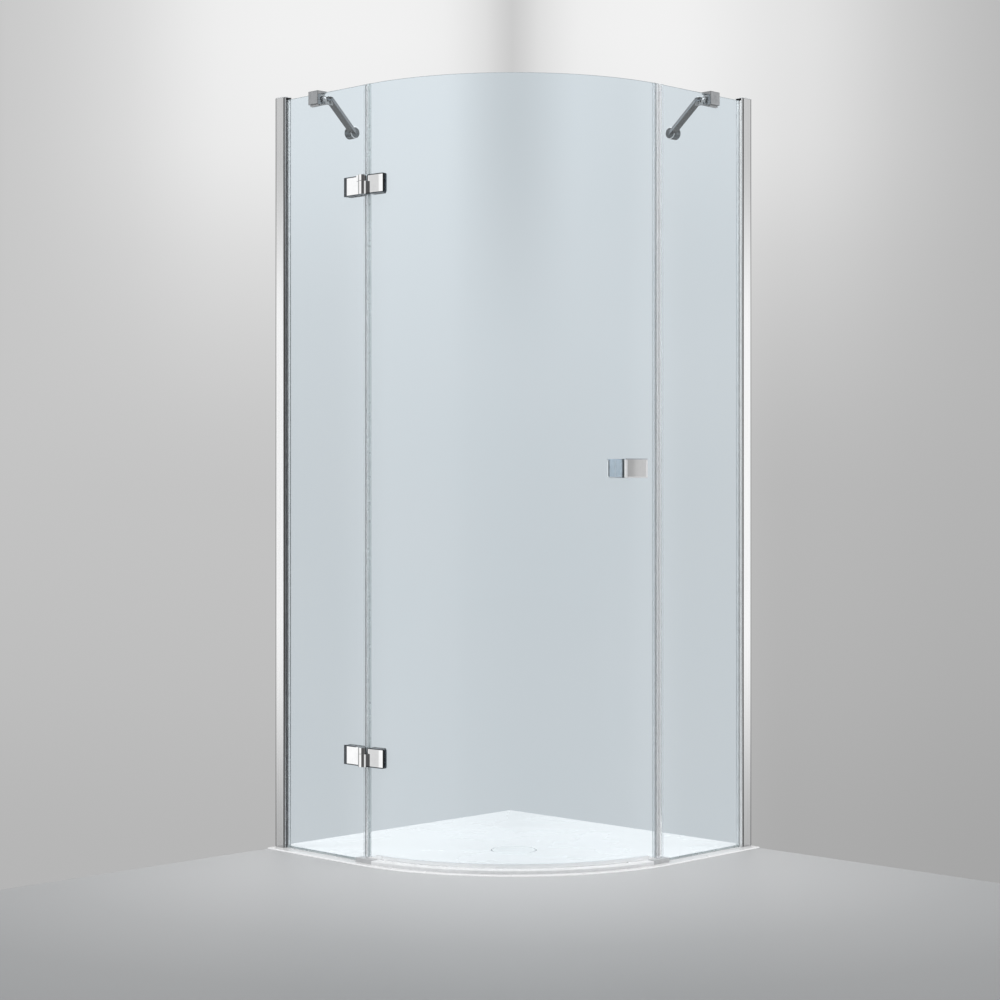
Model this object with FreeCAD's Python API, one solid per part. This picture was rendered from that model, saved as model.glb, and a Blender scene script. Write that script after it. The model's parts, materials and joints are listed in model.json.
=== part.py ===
import FreeCAD, Part
import math
import os

os.makedirs("parts", exist_ok=True)
V = FreeCAD.Vector
UP = V(0, 0, 1)

# Tray
TRAY_SIDE = 900.0
TRAY_STRAIGHT = 350.0
TRAY_THICK = 30.0
TRAY_EDGE = 3.0
FALL_RADIUS = 340.0
FALL_DEPTH = 7.0
WASTE_RADIUS = 45.0
RECESS_RADIUS = 60.0
RECESS_DEPTH = 6.0
COVER_RADIUS = 56.0
COVER_THICK = 2.5
FOOT_RADIUS = 4.0

# Glass
GLASS_INSET = 38.6
GLASS_THICK = 6.0
GLASS_TOP = 1932.0
SIDE_GLASS_BOTTOM = 3.0
DOOR_GLASS_BOTTOM = 15.0
LEFT_GLASS_END = 340.0
RIGHT_GLASS_END = 351.0
DOOR_START = -4.0
DOOR_STOP = 20.0

# Channels at the walls
CHANNEL_WIDTH = 24.0
CHANNEL_DEPTH = 32.0
CHANNEL_WALL = 1.8
CHANNEL_RISE = 6.0
SLIDE_GAP = 0.2
GLAZING_START = 12.0
GLAZING_STOP = 38.0
GLAZING_WALL = 1.6
GLASS_EDGE = 18.0
GLAZING_LIFT = 0.5
GASKET_LIFT = 1.0
GASKET_SHORT = 1.0
CAP_THICK = 2.0
CAP_PLUG = 8.0
CAP_GAP = 0.3
WALL_HOLE_RADIUS = 2.5
WALL_HOLE_FIRST = 150.0
WALL_HOLE_DROP = 132.0
WALL_HOLES = 4
LOCK_FIRST = 200.0
LOCK_DROP = 212.0
LOCK_SCREWS = 3
LOCK_RADIUS = 1.75
LOCK_HOLE_GAP = 0.1
LOCK_HEAD_RADIUS = 3.5
LOCK_HEAD_THICK = 1.8

# Seals
SEAL_WALL = 1.2
SEAL_LEG = 8.0
SEAL_START = 12.5
SEAL_GAP = 0.4
CURVE_SEAT = 0.15
MAGNET_BODY = 10.0
MAGNET_HALF = 2.6

# Hinges
HINGE_U = 343.0
HINGE_V = 17.0
UPPER_HINGE_DROP = 251.0
LOWER_HINGE_HEIGHT = 262.0
LEAF_HEIGHT = 48.0
LEAF_THICK = 10.0
PLATE_THICK = 8.0
PAD_THICK = 1.0
PAD_INSET = 1.0
HINGE_LEAF_START = 266.0
DOOR_LEAF_STOP = 63.0
DOOR_PLATE_STOP = 50.0
LEAF_ROLL = 7.0
PLATE_ROLL = 4.0
BARREL_RADIUS = 11.0
KNUCKLE_HEIGHT = 15.0
BUSH_FLANGE = 0.7
PIN_RADIUS = 4.0
BUSH_RADIUS = 5.0
RUNNING_FIT = 0.05
MOVING_GAP = 0.3
LEAF_GAP = 1.0
HINGE_SCREW_RADIUS = 3.0
HINGE_GLASS_HOLE = 6.0
HINGE_SCREW_PITCH = 24.0

# Handle
HANDLE_BACK = 115.0
HANDLE_HEIGHT = 977.0
HANDLE_TALL = 47.0
HANDLE_WIDE = 62.0
HANDLE_REACH = 43.5
HANDLE_PLATE = 6.0
HANDLE_WEB = 16.0
STUD_RADIUS = 3.0
STUD_PITCH = 28.0
STUD_LENGTH = 44.0
STUD_GLASS_HOLE = 5.0

# Threshold
RAIL_HEIGHT = 9.0
RAIL_IN = 5.0
RAIL_OUT = 20.0
END_HEIGHT = 11.0
END_IN = 8.0
END_OUT = 18.0
END_LENGTH = 57.0
LEFT_END_START = -31.0
RIGHT_END_BACK = 13.0

# Stays
CLAMP_START = 126.5
CLAMP_LENGTH = 37.0
CLAMP_IN = 22.5
CLAMP_OUT = 9.0
CLAMP_DROP = 26.0
CLAMP_RISE = 8.0
LINER_THICK = 1.0
LINER_DROP = 5.0
SWIVEL_V = -11.5
SWIVEL_DROP = 11.0
SWIVEL_RADIUS = 6.5
STAY_NEAR_ALONG = 166.0
STAY_NEAR_IN = 31.0
STAY_WALL_SHORT = 18.0
STAY_WALL_ALONG = 618.0
STAY_WALL_DROP = 54.0
BAR_WIDTH = 20.0
BAR_THICK = 10.0
STAY_SEAT_RADIUS = 7.0
STAY_PIN_RADIUS = 3.0
DRUM_RADIUS = 16.0
DRUM_LENGTH = 26.0
FOOT_DISC_RADIUS = 12.0
FOOT_DISC_THICK = 5.0

HALF = TRAY_SIDE / 2
GLASS_LINE = TRAY_SIDE - GLASS_INSET
TRAY_RADIUS = TRAY_SIDE - TRAY_STRAIGHT
GLASS_RADIUS = GLASS_LINE - TRAY_STRAIGHT
ARC_X = TRAY_STRAIGHT - HALF
ARC_Y = HALF - TRAY_STRAIGHT
ARC = GLASS_RADIUS * math.pi / 2
SIDE_Y = GLASS_LINE - HALF
GLASS_HALF = GLASS_THICK / 2
HINGE_HEIGHTS = {"upper": GLASS_TOP - UPPER_HINGE_DROP, "lower": LOWER_HINGE_HEIGHT}
WALL_HOLE_STEP = (GLASS_TOP - WALL_HOLE_DROP - WALL_HOLE_FIRST) / (WALL_HOLES - 1)
LOCK_STEP = (GLASS_TOP - LOCK_DROP - LOCK_FIRST) / (LOCK_SCREWS - 1)
CHANNEL_TOP = GLASS_TOP + CHANNEL_RISE
CLAMP_BOTTOM = GLASS_TOP - CLAMP_DROP
CLAMP_TOP = GLASS_TOP + CLAMP_RISE
SWIVEL_HEIGHT = GLASS_TOP - SWIVEL_DROP
STAY_WALL_HEIGHT = GLASS_TOP - STAY_WALL_DROP


def solid(shape):
    """The one solid of a result, turned right side out."""
    pieces = shape.Solids
    if len(pieces) != 1:
        raise ValueError("expected one solid, got %d" % len(pieces))
    piece = pieces[0]
    if piece.Volume < 0:
        piece.reverse()
    return piece


def flat(v0, v1, u0, u1, h0, h1):
    """Block along the left pane: v out of the glass, u from the wall, h above the tray."""
    piece = Part.makeBox(v1 - v0, u1 - u0, h1 - h0, V(v0, u0, h0))
    return to_side(piece)


def to_side(piece):
    """Puts a piece made in (v, u, h) on the left side."""
    piece = piece.copy()
    piece.rotate(V(0, 0, 0), UP, -90)
    piece.translate(V(-HALF, -SIDE_Y, TRAY_THICK))
    return piece


def side_rod(radius, start, along, length):
    """Rod beside the left pane, from a point (v, u, h) along a direction."""
    return to_side(Part.makeCylinder(radius, length, V(*start), V(*along)))


def to_right(piece):
    """Mirror image of a left-hand piece for the right-hand side."""
    return piece.mirror(V(0, 0, 0), V(1, 1, 0))


def swept(profile, s0, s1):
    """Profile in (v, h) swept along the curved glass from s0 to s1."""
    points = [V(GLASS_RADIUS + v, 0, TRAY_THICK + h) for v, h in profile]
    face = Part.Face(Part.makePolygon(points + [points[0]]))
    piece = face.revolve(V(0, 0, 0), UP, math.degrees((s1 - s0) / GLASS_RADIUS))
    piece.rotate(V(0, 0, 0), UP, math.degrees(s0 / GLASS_RADIUS) - 90)
    piece.translate(V(ARC_X, ARC_Y, 0))
    return solid(piece)


def curved(v0, v1, s0, s1, h0, h1):
    """Block along the curved glass."""
    return swept([(v0, h0), (v1, h0), (v1, h1), (v0, h1)], s0, s1)


def on_arc(piece, s, h):
    """Puts a piece made about the glass (x outwards, y along) on the curve."""
    piece = piece.copy()
    turn = s / GLASS_RADIUS - math.pi / 2
    piece.rotate(V(0, 0, 0), UP, math.degrees(turn))
    x = ARC_X + GLASS_RADIUS * math.cos(turn)
    y = ARC_Y + GLASS_RADIUS * math.sin(turn)
    piece.translate(V(x, y, TRAY_THICK + h))
    return piece


def radial_rod(radius, s, h, v0, v1):
    """Rod straight through the curved glass."""
    return on_arc(Part.makeCylinder(radius, v1 - v0, V(v0, 0, 0), V(1, 0, 0)), s, h)


def edges_along(piece, axis, limit=None):
    """Straight edges parallel to an axis, or only those that pass a test on their middle."""
    chosen = []
    for edge in piece.Edges:
        ends = [vertex.Point for vertex in edge.Vertexes]
        if len(ends) != 2:
            continue
        run = ends[1] - ends[0]
        if run.Length < 1e-6 or run.cross(axis).Length > 1e-6 * run.Length:
            continue
        middle = (ends[0] + ends[1]) * 0.5
        if limit is None or limit(middle):
            chosen.append(edge)
    return chosen


def soft_prism(deep, wide, tall, corner):
    """Block about the origin whose four corners seen from the front are round."""
    piece = Part.makeBox(deep, wide, tall, V(-deep / 2, -wide / 2, -tall / 2))
    return piece.makeFillet(corner, edges_along(piece, V(1, 0, 0)))


def plates_of(nodes):
    """Writes every node to its own file."""
    for name, shape in nodes.items():
        if not shape.isValid():
            raise ValueError(name + " is not valid")
        shape.exportStep("parts/" + name + ".step")
        print(name, len(shape.Solids), round(shape.Volume / 1000, 2), "cm3")


nodes = {}

# Tray: quadrant slab with a shallow fall to the waste hole
corner = V(-HALF, HALF, 0)
right_back = V(HALF, HALF, 0)
right_front = V(HALF, ARC_Y, 0)
left_front = V(ARC_X, -HALF, 0)
left_back = V(-HALF, -HALF, 0)
middle = TRAY_RADIUS * math.sqrt(0.5)
bow = Part.Arc(right_front, V(ARC_X + middle, ARC_Y - middle, 0), left_front)
outline = Part.Wire([
    Part.makeLine(corner, right_back),
    Part.makeLine(right_back, right_front),
    bow.toShape(),
    Part.makeLine(left_front, left_back),
    Part.makeLine(left_back, corner),
])
tray = Part.Face(outline).extrude(V(0, 0, TRAY_THICK))


def front_top(edge):
    box = edge.BoundBox
    on_top = box.ZMin > TRAY_THICK - 0.01
    at_wall = box.XMax < -HALF + 0.01 or box.YMin > HALF - 0.01
    return on_top and not at_wall


tray = tray.makeFillet(TRAY_EDGE, [edge for edge in tray.Edges if front_top(edge)])
fall_floor = TRAY_THICK - FALL_DEPTH
recess_floor = fall_floor - RECESS_DEPTH
fall = Part.makeCone(RECESS_RADIUS, FALL_RADIUS, FALL_DEPTH, V(0, 0, fall_floor))
recess = Part.makeCylinder(RECESS_RADIUS, RECESS_DEPTH + 1, V(0, 0, recess_floor))
waste = Part.makeCylinder(WASTE_RADIUS, TRAY_THICK)
tray = tray.cut(fall).cut(recess).cut(waste)
nodes["shower_tray"] = solid(tray)

# Drain cover: flush disc on three feet
cover_bottom = fall_floor - COVER_THICK
cover = Part.makeCylinder(COVER_RADIUS, COVER_THICK, V(0, 0, cover_bottom))
cover = cover.makeFillet(0.8, [edge for edge in cover.Edges if len(edge.Vertexes) == 1])
foot_ring = (RECESS_RADIUS + WASTE_RADIUS) / 2 - 2
for turn in (90, 210, 330):
    angle = math.radians(turn)
    place = V(foot_ring * math.cos(angle), foot_ring * math.sin(angle), recess_floor)
    cover = cover.fuse(Part.makeCylinder(FOOT_RADIUS, cover_bottom - recess_floor + 1, place))
nodes["drain_cover"] = solid(cover)

# Channels, caps and gaskets at the wall, made for the left and mirrored
half_channel = CHANNEL_WIDTH / 2
inside = half_channel - CHANNEL_WALL
wall_channel = flat(-half_channel, half_channel, 0, CHANNEL_DEPTH, 0, CHANNEL_TOP)
wall_channel = wall_channel.cut(
    flat(-inside, inside, CHANNEL_WALL, CHANNEL_DEPTH + 1, -1, CHANNEL_TOP + 1))
wall_holes = [WALL_HOLE_FIRST + step * WALL_HOLE_STEP for step in range(WALL_HOLES)]
for height in wall_holes:
    wall_channel = wall_channel.cut(
        side_rod(WALL_HOLE_RADIUS, (0, -1, height), (0, 1, 0), CHANNEL_WALL + 2))

half_glazing = inside - SLIDE_GAP
glazing_inside = half_glazing - GLAZING_WALL
glazing = flat(-half_glazing, half_glazing, GLAZING_START, GLAZING_STOP,
               GLAZING_LIFT, CHANNEL_TOP)
glazing = glazing.cut(flat(-glazing_inside, glazing_inside,
                           GLAZING_START + GLAZING_WALL, GLAZING_STOP + 1, 0, CHANNEL_TOP + 1))

gasket = flat(-glazing_inside, glazing_inside, GLAZING_START + GLAZING_WALL,
              GLAZING_STOP - GASKET_SHORT, GASKET_LIFT, GLASS_TOP)
gasket = gasket.cut(flat(-GLASS_HALF, GLASS_HALF, GLASS_EDGE, GLAZING_STOP + 1, 0, GLASS_TOP + 1))

lock_u = (GLAZING_START + CHANNEL_DEPTH) / 2
lock_tip = -glazing_inside + 1.4
lock_screws = []
for step in range(LOCK_SCREWS):
    height = LOCK_FIRST + step * LOCK_STEP
    start = (-half_channel - LOCK_HEAD_THICK, lock_u, height)
    shank = side_rod(LOCK_RADIUS, start, (1, 0, 0), lock_tip + half_channel + LOCK_HEAD_THICK)
    head = side_rod(LOCK_HEAD_RADIUS, start, (1, 0, 0), LOCK_HEAD_THICK)
    lock_screws.append(solid(shank.fuse(head)))
    through = side_rod(LOCK_RADIUS + LOCK_HOLE_GAP, (-half_channel - 1, lock_u, height),
                       (1, 0, 0), 1 + CHANNEL_WALL + SLIDE_GAP + GLAZING_WALL + 0.4)
    wall_channel = wall_channel.cut(through)
    glazing = glazing.cut(through)
    gasket = gasket.cut(side_rod(LOCK_RADIUS + GLAZING_LIFT, (-glazing_inside - 1, lock_u, height),
                                 (1, 0, 0), 3))

cap = flat(-half_channel, half_channel, 0, CHANNEL_DEPTH, CHANNEL_TOP, CHANNEL_TOP + CAP_THICK)
cap = cap.fuse(flat(-half_glazing, half_glazing, CHANNEL_DEPTH - 1, GLAZING_STOP,
                    CHANNEL_TOP, CHANNEL_TOP + CAP_THICK))
plug = inside - CAP_GAP
cap = cap.fuse(flat(-plug, plug, CHANNEL_WALL + CAP_GAP, GLAZING_START - CAP_GAP,
                    CHANNEL_TOP - CAP_PLUG, CHANNEL_TOP + CAP_THICK / 2)).removeSplitter()

# Fixed panes and the thin seals below them
side_left = flat(-GLASS_HALF, GLASS_HALF, GLASS_EDGE, LEFT_GLASS_END,
                 SIDE_GLASS_BOTTOM, GLASS_TOP)
side_right = flat(-GLASS_HALF, GLASS_HALF, GLASS_EDGE, RIGHT_GLASS_END,
                  SIDE_GLASS_BOTTOM, GLASS_TOP)
sill_left_stop = TRAY_STRAIGHT + LEFT_END_START - SEAL_GAP
sill_right_stop = TRAY_STRAIGHT - RIGHT_END_BACK - SEAL_GAP


def sill(stop):
    wide = GLASS_HALF + SEAL_WALL
    strip = flat(-wide, wide, GLAZING_STOP + SEAL_GAP, stop, 0, SIDE_GLASS_BOTTOM + 2)
    return strip.cut(flat(-GLASS_HALF, GLASS_HALF, 0, stop + 1,
                          SIDE_GLASS_BOTTOM, GLASS_TOP))


sill_left = sill(sill_left_stop)
sill_right = sill(sill_right_stop)

# Door glass
door_stop = ARC - DOOR_STOP
door_glass = curved(-GLASS_HALF, GLASS_HALF, DOOR_START, door_stop, DOOR_GLASS_BOTTOM, GLASS_TOP)

# Hinges
pads_frame = []
pads_door = []
screws_frame = []
screws_door = []
pins = []
bushes = []
leaf_out = GLASS_HALF + PAD_THICK
leaf_face = leaf_out + LEAF_THICK
plate_back = -leaf_out - PLATE_THICK
frame_leaf_stop = HINGE_U - BARREL_RADIUS - LEAF_GAP
axis_s = HINGE_U - TRAY_STRAIGHT
door_leaf_start = axis_s + BARREL_RADIUS + LEAF_GAP
axis_x = HINGE_U - HALF
axis_y = -SIDE_Y - HINGE_V
frame_mid = (HINGE_LEAF_START + frame_leaf_stop) / 2
frame_wide = frame_leaf_stop - HINGE_LEAF_START
door_mid = (door_leaf_start + DOOR_PLATE_STOP) / 2


def upright(radius, z0, z1):
    """Upright rod on the hinge axis."""
    return Part.makeCylinder(radius, z1 - z0, V(axis_x, axis_y, TRAY_THICK + z0))


def flat_plate(v0, v1, round_face, roll):
    """Frame-side hinge plate with soft corners and a rolled end."""
    piece = Part.makeBox(v1 - v0, frame_wide, LEAF_HEIGHT,
                         V(v0, HINGE_LEAF_START, -LEAF_HEIGHT / 2))
    rolled = edges_along(piece, UP, lambda mid: abs(mid.x - round_face) < 0.01
                         and mid.y < HINGE_LEAF_START + 1)
    piece = piece.makeFillet(roll, rolled)
    mask = soft_prism(4 * leaf_face, frame_wide, LEAF_HEIGHT, 5.0)
    mask.translate(V(0, frame_mid, 0))
    return piece.common(mask)


def bent_plate(v0, v1, round_face, stop, roll):
    """Door-side hinge plate, bent to the curve of the glass and rolled at its end."""
    wide = stop - door_leaf_start
    piece = curved(v0, v1, door_leaf_start, stop, -LEAF_HEIGHT / 2, LEAF_HEIGHT / 2)
    target = GLASS_RADIUS + round_face

    def outer(mid):
        reach = math.hypot(mid.x - ARC_X, mid.y - ARC_Y)
        return abs(reach - target) < 0.01 and mid.x > axis_x + wide / 2
    piece = piece.makeFillet(roll, edges_along(piece, UP, outer))
    mask = on_arc(soft_prism(4 * leaf_face, wide, LEAF_HEIGHT, 5.0),
                  (door_leaf_start + stop) / 2, 0)
    return piece.common(mask)


def screw(radius, length, head):
    """Countersunk screw along x, its head face at the origin."""
    cone = Part.makeCone(head, radius, head - radius, V(0, 0, 0), V(1, 0, 0))
    return solid(cone.fuse(Part.makeCylinder(radius, length, V(0, 0, 0), V(1, 0, 0))))


screw_length = leaf_face - 2.5 - plate_back
hinge_screw = screw(HINGE_SCREW_RADIUS, screw_length, 5.6)
hinge_screw.translate(V(plate_back, 0, 0))
screw_gap = 0.1

for label, height in HINGE_HEIGHTS.items():
    low = height - LEAF_HEIGHT / 2
    high = height + LEAF_HEIGHT / 2
    knuckle_low = high - KNUCKLE_HEIGHT
    barrel_high = knuckle_low - MOVING_GAP - BUSH_FLANGE

    frame_leaf = to_side(flat_plate(leaf_out, leaf_face, leaf_face, LEAF_ROLL))
    frame_leaf.translate(V(0, 0, height))
    knuckle = upright(BARREL_RADIUS, knuckle_low, high)
    bridge = flat(leaf_out + 2, HINGE_V + 5, frame_leaf_stop - 6, HINGE_U, knuckle_low, high)
    frame_leaf = frame_leaf.fuse([knuckle, bridge])
    frame_leaf = frame_leaf.cut(upright(PIN_RADIUS, knuckle_low - 1, high - 2))

    frame_plate = to_side(flat_plate(plate_back, -leaf_out, plate_back, PLATE_ROLL))
    frame_plate.translate(V(0, 0, height))

    door_leaf = bent_plate(leaf_out, leaf_face, leaf_face, DOOR_LEAF_STOP, LEAF_ROLL)
    door_leaf.translate(V(0, 0, height))
    barrel = upright(BARREL_RADIUS, low, barrel_high)
    arm = curved(leaf_out + 2, HINGE_V + 4, axis_s, door_leaf_start + 4, low, barrel_high)
    door_leaf = door_leaf.fuse([barrel, arm])
    pin_low = low + 3
    bush_bore = upright(BUSH_RADIUS, pin_low - 0.5, barrel_high + 1)
    door_leaf = door_leaf.cut(bush_bore)

    door_plate = bent_plate(plate_back, -leaf_out, plate_back, DOOR_PLATE_STOP, PLATE_ROLL)
    door_plate.translate(V(0, 0, height))

    pin = upright(PIN_RADIUS, pin_low, high - 2)
    bush = upright(BUSH_RADIUS, pin_low - 0.5, barrel_high)
    bush = bush.fuse(upright(BARREL_RADIUS - 1, barrel_high, barrel_high + BUSH_FLANGE))
    bush = bush.cut(upright(PIN_RADIUS + RUNNING_FIT, pin_low - 1, barrel_high + 2))

    for side in (-1, 1):
        u = frame_mid + side * HINGE_SCREW_PITCH / 2
        placed = hinge_screw.copy()
        placed.translate(V(0, u, height))
        placed = to_side(placed)
        screws_frame.append(placed)
        frame_leaf = frame_leaf.cut(placed)
        frame_plate = frame_plate.cut(placed)
        hole = side_rod(HINGE_GLASS_HOLE, (-10, u, height), (1, 0, 0), 20)
        side_left = side_left.cut(hole)

        s = door_mid + side * HINGE_SCREW_PITCH / 2
        placed = on_arc(hinge_screw, s, height)
        screws_door.append(placed)
        door_leaf = door_leaf.cut(placed)
        door_plate = door_plate.cut(placed)
        door_glass = door_glass.cut(radial_rod(HINGE_GLASS_HOLE, s, height, -10, 10))

    for v0, pad_stop in ((-leaf_out, DOOR_PLATE_STOP), (GLASS_HALF, DOOR_LEAF_STOP)):
        pad = flat(v0, v0 + PAD_THICK, HINGE_LEAF_START + PAD_INSET, frame_leaf_stop - PAD_INSET,
                   low + PAD_INSET, high - PAD_INSET)
        door_pad = curved(v0 + CURVE_SEAT, v0 + PAD_THICK - CURVE_SEAT,
                          door_leaf_start + PAD_INSET, pad_stop - PAD_INSET,
                          low + PAD_INSET, high - PAD_INSET)
        for side in (-1, 1):
            u = frame_mid + side * HINGE_SCREW_PITCH / 2
            s = door_mid + side * HINGE_SCREW_PITCH / 2
            pad = pad.cut(side_rod(HINGE_SCREW_RADIUS + screw_gap, (-10, u, height), (1, 0, 0), 20))
            door_pad = door_pad.cut(
                radial_rod(HINGE_SCREW_RADIUS + screw_gap, s, height, -10, 10))
        pads_frame.append(solid(pad))
        pads_door.append(solid(door_pad))

    nodes["hinge_" + label + "_frame_leaf"] = solid(frame_leaf)
    nodes["hinge_" + label + "_frame_plate"] = solid(frame_plate)
    nodes["hinge_" + label + "_door_leaf"] = solid(door_leaf)
    nodes["hinge_" + label + "_door_plate"] = solid(door_plate)
    pins.append(pin)
    bushes.append(solid(bush))

nodes["hinge_pins"] = Part.makeCompound(pins)
nodes["hinge_bushes"] = Part.makeCompound(bushes)
nodes["hinge_frame_pads"] = Part.makeCompound(pads_frame)
nodes["hinge_door_pads"] = Part.makeCompound(pads_door)
nodes["hinge_frame_screws"] = Part.makeCompound(screws_frame)
nodes["hinge_door_screws"] = Part.makeCompound(screws_door)

# Seals in the hinge gap, cut away round the hinges
seal_wide = GLASS_HALF + SEAL_WALL
seal_middle = (LEFT_GLASS_END - TRAY_STRAIGHT + DOOR_START) / 2
frame_seal = flat(-seal_wide, seal_wide, LEFT_GLASS_END - SEAL_LEG,
                  TRAY_STRAIGHT + seal_middle - SEAL_GAP / 2, SEAL_START, GLASS_TOP)
frame_seal = frame_seal.cut(flat(-GLASS_HALF, GLASS_HALF, LEFT_GLASS_END - SEAL_LEG - 1,
                                 LEFT_GLASS_END, 0, GLASS_TOP + 1))
door_seal = curved(-seal_wide, seal_wide, seal_middle + SEAL_GAP / 2, DOOR_START + SEAL_LEG,
                   SEAL_START, GLASS_TOP)
door_grip = GLASS_HALF + CURVE_SEAT
door_seal = door_seal.cut(curved(-door_grip, door_grip, DOOR_START, DOOR_START + SEAL_LEG + 1,
                                 0, GLASS_TOP + 1))
for height in HINGE_HEIGHTS.values():
    h0 = height - LEAF_HEIGHT / 2 - 0.5
    h1 = height + LEAF_HEIGHT / 2 + 0.5
    for v0 in (-leaf_out - 1, GLASS_HALF):
        frame_seal = frame_seal.cut(
            flat(v0, v0 + PAD_THICK + 1, 0, frame_leaf_stop + 1, h0, h1))
        door_seal = door_seal.cut(
            curved(v0, v0 + PAD_THICK + 1, door_leaf_start - 1, DOOR_LEAF_STOP, h0, h1))

# Magnetic seals in the closing gap
meet = TRAY_STRAIGHT + DOOR_STOP - MAGNET_BODY + 1.5
magnet_wide = GLASS_HALF + 2.0
magnet_depth = 4.0
frame_magnet = flat(-magnet_wide, magnet_wide, RIGHT_GLASS_END, meet - SEAL_GAP,
                    SEAL_START, GLASS_TOP)
frame_magnet = frame_magnet.fuse(flat(-seal_wide, seal_wide, RIGHT_GLASS_END - 7,
                                      RIGHT_GLASS_END + 1, SEAL_START, GLASS_TOP))
frame_magnet = frame_magnet.cut(flat(-GLASS_HALF, GLASS_HALF, RIGHT_GLASS_END - 8,
                                     RIGHT_GLASS_END, 0, GLASS_TOP + 1))
frame_bar_slot = flat(-MAGNET_HALF, MAGNET_HALF, meet - SEAL_GAP - 1.2 - magnet_depth,
                      meet - SEAL_GAP - 1.2, SEAL_START + 2, GLASS_TOP + 1)
frame_bar = flat(-MAGNET_HALF, MAGNET_HALF, meet - SEAL_GAP - 1.2 - magnet_depth,
                 meet - SEAL_GAP - 1.2, SEAL_START + 2, GLASS_TOP - 1)
frame_magnet = frame_magnet.cut(frame_bar_slot)

seal_end = ARC - (meet - TRAY_STRAIGHT)
door_magnet = curved(-magnet_wide, magnet_wide, door_stop, seal_end, SEAL_START, GLASS_TOP)
door_magnet = door_magnet.fuse(curved(-seal_wide, seal_wide, door_stop - 8.5, door_stop + 1,
                                      SEAL_START, GLASS_TOP))
door_magnet = door_magnet.cut(curved(-door_grip, door_grip, door_stop - 9, door_stop,
                                     0, GLASS_TOP + 1))
door_bar_slot = curved(-MAGNET_HALF, MAGNET_HALF, seal_end - 1.2 - magnet_depth, seal_end - 1.2,
                       SEAL_START + 2, GLASS_TOP + 1)
door_bar = curved(-MAGNET_HALF, MAGNET_HALF, seal_end - 1.2 - magnet_depth, seal_end - 1.2,
                  SEAL_START + 2, GLASS_TOP - 1)
door_magnet = door_magnet.cut(door_bar_slot)

# Drip seal under the door, with a lip down to the rail and a fin that turns water inwards
rail_left = LEFT_END_START + END_LENGTH
rail_right = ARC + RIGHT_END_BACK - END_LENGTH
lip = RAIL_HEIGHT + SEAL_GAP
base = DOOR_GLASS_BOTTOM - 2.0
drip_profile = [
    (-seal_wide, DOOR_GLASS_BOTTOM + SEAL_LEG - 2), (-seal_wide, base + 1.0),
    (-seal_wide - 3.5, lip + 1.0), (-seal_wide - 2.8, lip), (-seal_wide + 1.6, base),
    (-0.6, base), (-0.6, lip), (0.6, lip), (0.6, base),
    (seal_wide, base), (seal_wide, DOOR_GLASS_BOTTOM + SEAL_LEG - 2),
    (door_grip, DOOR_GLASS_BOTTOM + SEAL_LEG - 2), (door_grip, DOOR_GLASS_BOTTOM),
    (-door_grip, DOOR_GLASS_BOTTOM), (-door_grip, DOOR_GLASS_BOTTOM + SEAL_LEG - 2),
]
drip_seal = swept(drip_profile, rail_left + 1, rail_right - 1)

# Handle: a T-section knob on each side of the glass
handle_s = ARC - HANDLE_BACK


def knob(side):
    """T-section knob; side is 1 outside and -1 inside."""
    near = GLASS_HALF + PAD_THICK
    web = Part.makeBox(HANDLE_REACH - near - 1, HANDLE_WEB, HANDLE_TALL,
                       V(near, -HANDLE_WEB / 2, -HANDLE_TALL / 2))
    if side < 0:
        web = web.mirror(V(0, 0, 0), V(1, 0, 0))
    web = on_arc(web, handle_s, HANDLE_HEIGHT)
    reach = sorted([side * HANDLE_REACH, side * (HANDLE_REACH - HANDLE_PLATE)])
    face = curved(reach[0], reach[1], handle_s - HANDLE_WIDE / 2, handle_s + HANDLE_WIDE / 2,
                  HANDLE_HEIGHT - HANDLE_TALL / 2, HANDLE_HEIGHT + HANDLE_TALL / 2)
    face = face.makeFillet(1.2, edges_along(face, UP))
    return face.fuse(web)


handle_outer = knob(1)
handle_inner = knob(-1)
studs = []
for side in (-1, 1):
    h = HANDLE_HEIGHT + side * STUD_PITCH / 2
    stud = radial_rod(STUD_RADIUS, handle_s, h, -STUD_LENGTH / 2, STUD_LENGTH / 2)
    studs.append(stud)
    handle_outer = handle_outer.cut(stud)
    handle_inner = handle_inner.cut(stud)
    door_glass = door_glass.cut(radial_rod(STUD_GLASS_HOLE, handle_s, h, -10, 10))
washers = []
for v0 in (GLASS_HALF, -GLASS_HALF - PAD_THICK):
    washer = curved(v0 + CURVE_SEAT, v0 + PAD_THICK - CURVE_SEAT,
                    handle_s - HANDLE_WEB / 2, handle_s + HANDLE_WEB / 2,
                    HANDLE_HEIGHT - HANDLE_TALL / 2, HANDLE_HEIGHT + HANDLE_TALL / 2)
    for stud in studs:
        washer = washer.cut(stud)
    washers.append(solid(washer))

# Threshold: low curved bar with an end block under each gap
rail_round = 3.0
rail_profile = [
    (-RAIL_IN, 0), (RAIL_OUT, 0), (RAIL_OUT, RAIL_HEIGHT - rail_round),
    (RAIL_OUT - 0.9, RAIL_HEIGHT - 0.9), (RAIL_OUT - rail_round, RAIL_HEIGHT),
    (-RAIL_IN + 1, RAIL_HEIGHT), (-RAIL_IN, RAIL_HEIGHT - 1),
]
rail = swept(rail_profile, rail_left, rail_right)

left_end = flat(-END_IN, END_OUT, TRAY_STRAIGHT + LEFT_END_START, TRAY_STRAIGHT, 0, END_HEIGHT)
left_end = left_end.fuse(curved(-END_IN, END_OUT, -1, rail_left, 0, END_HEIGHT))
right_end = flat(-END_IN, END_OUT, TRAY_STRAIGHT - RIGHT_END_BACK, TRAY_STRAIGHT, 0, END_HEIGHT)
right_end = to_right(right_end)
right_end = right_end.fuse(curved(-END_IN, END_OUT, rail_right, ARC + 1, 0, END_HEIGHT))
pocket_gap = 0.3


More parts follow.
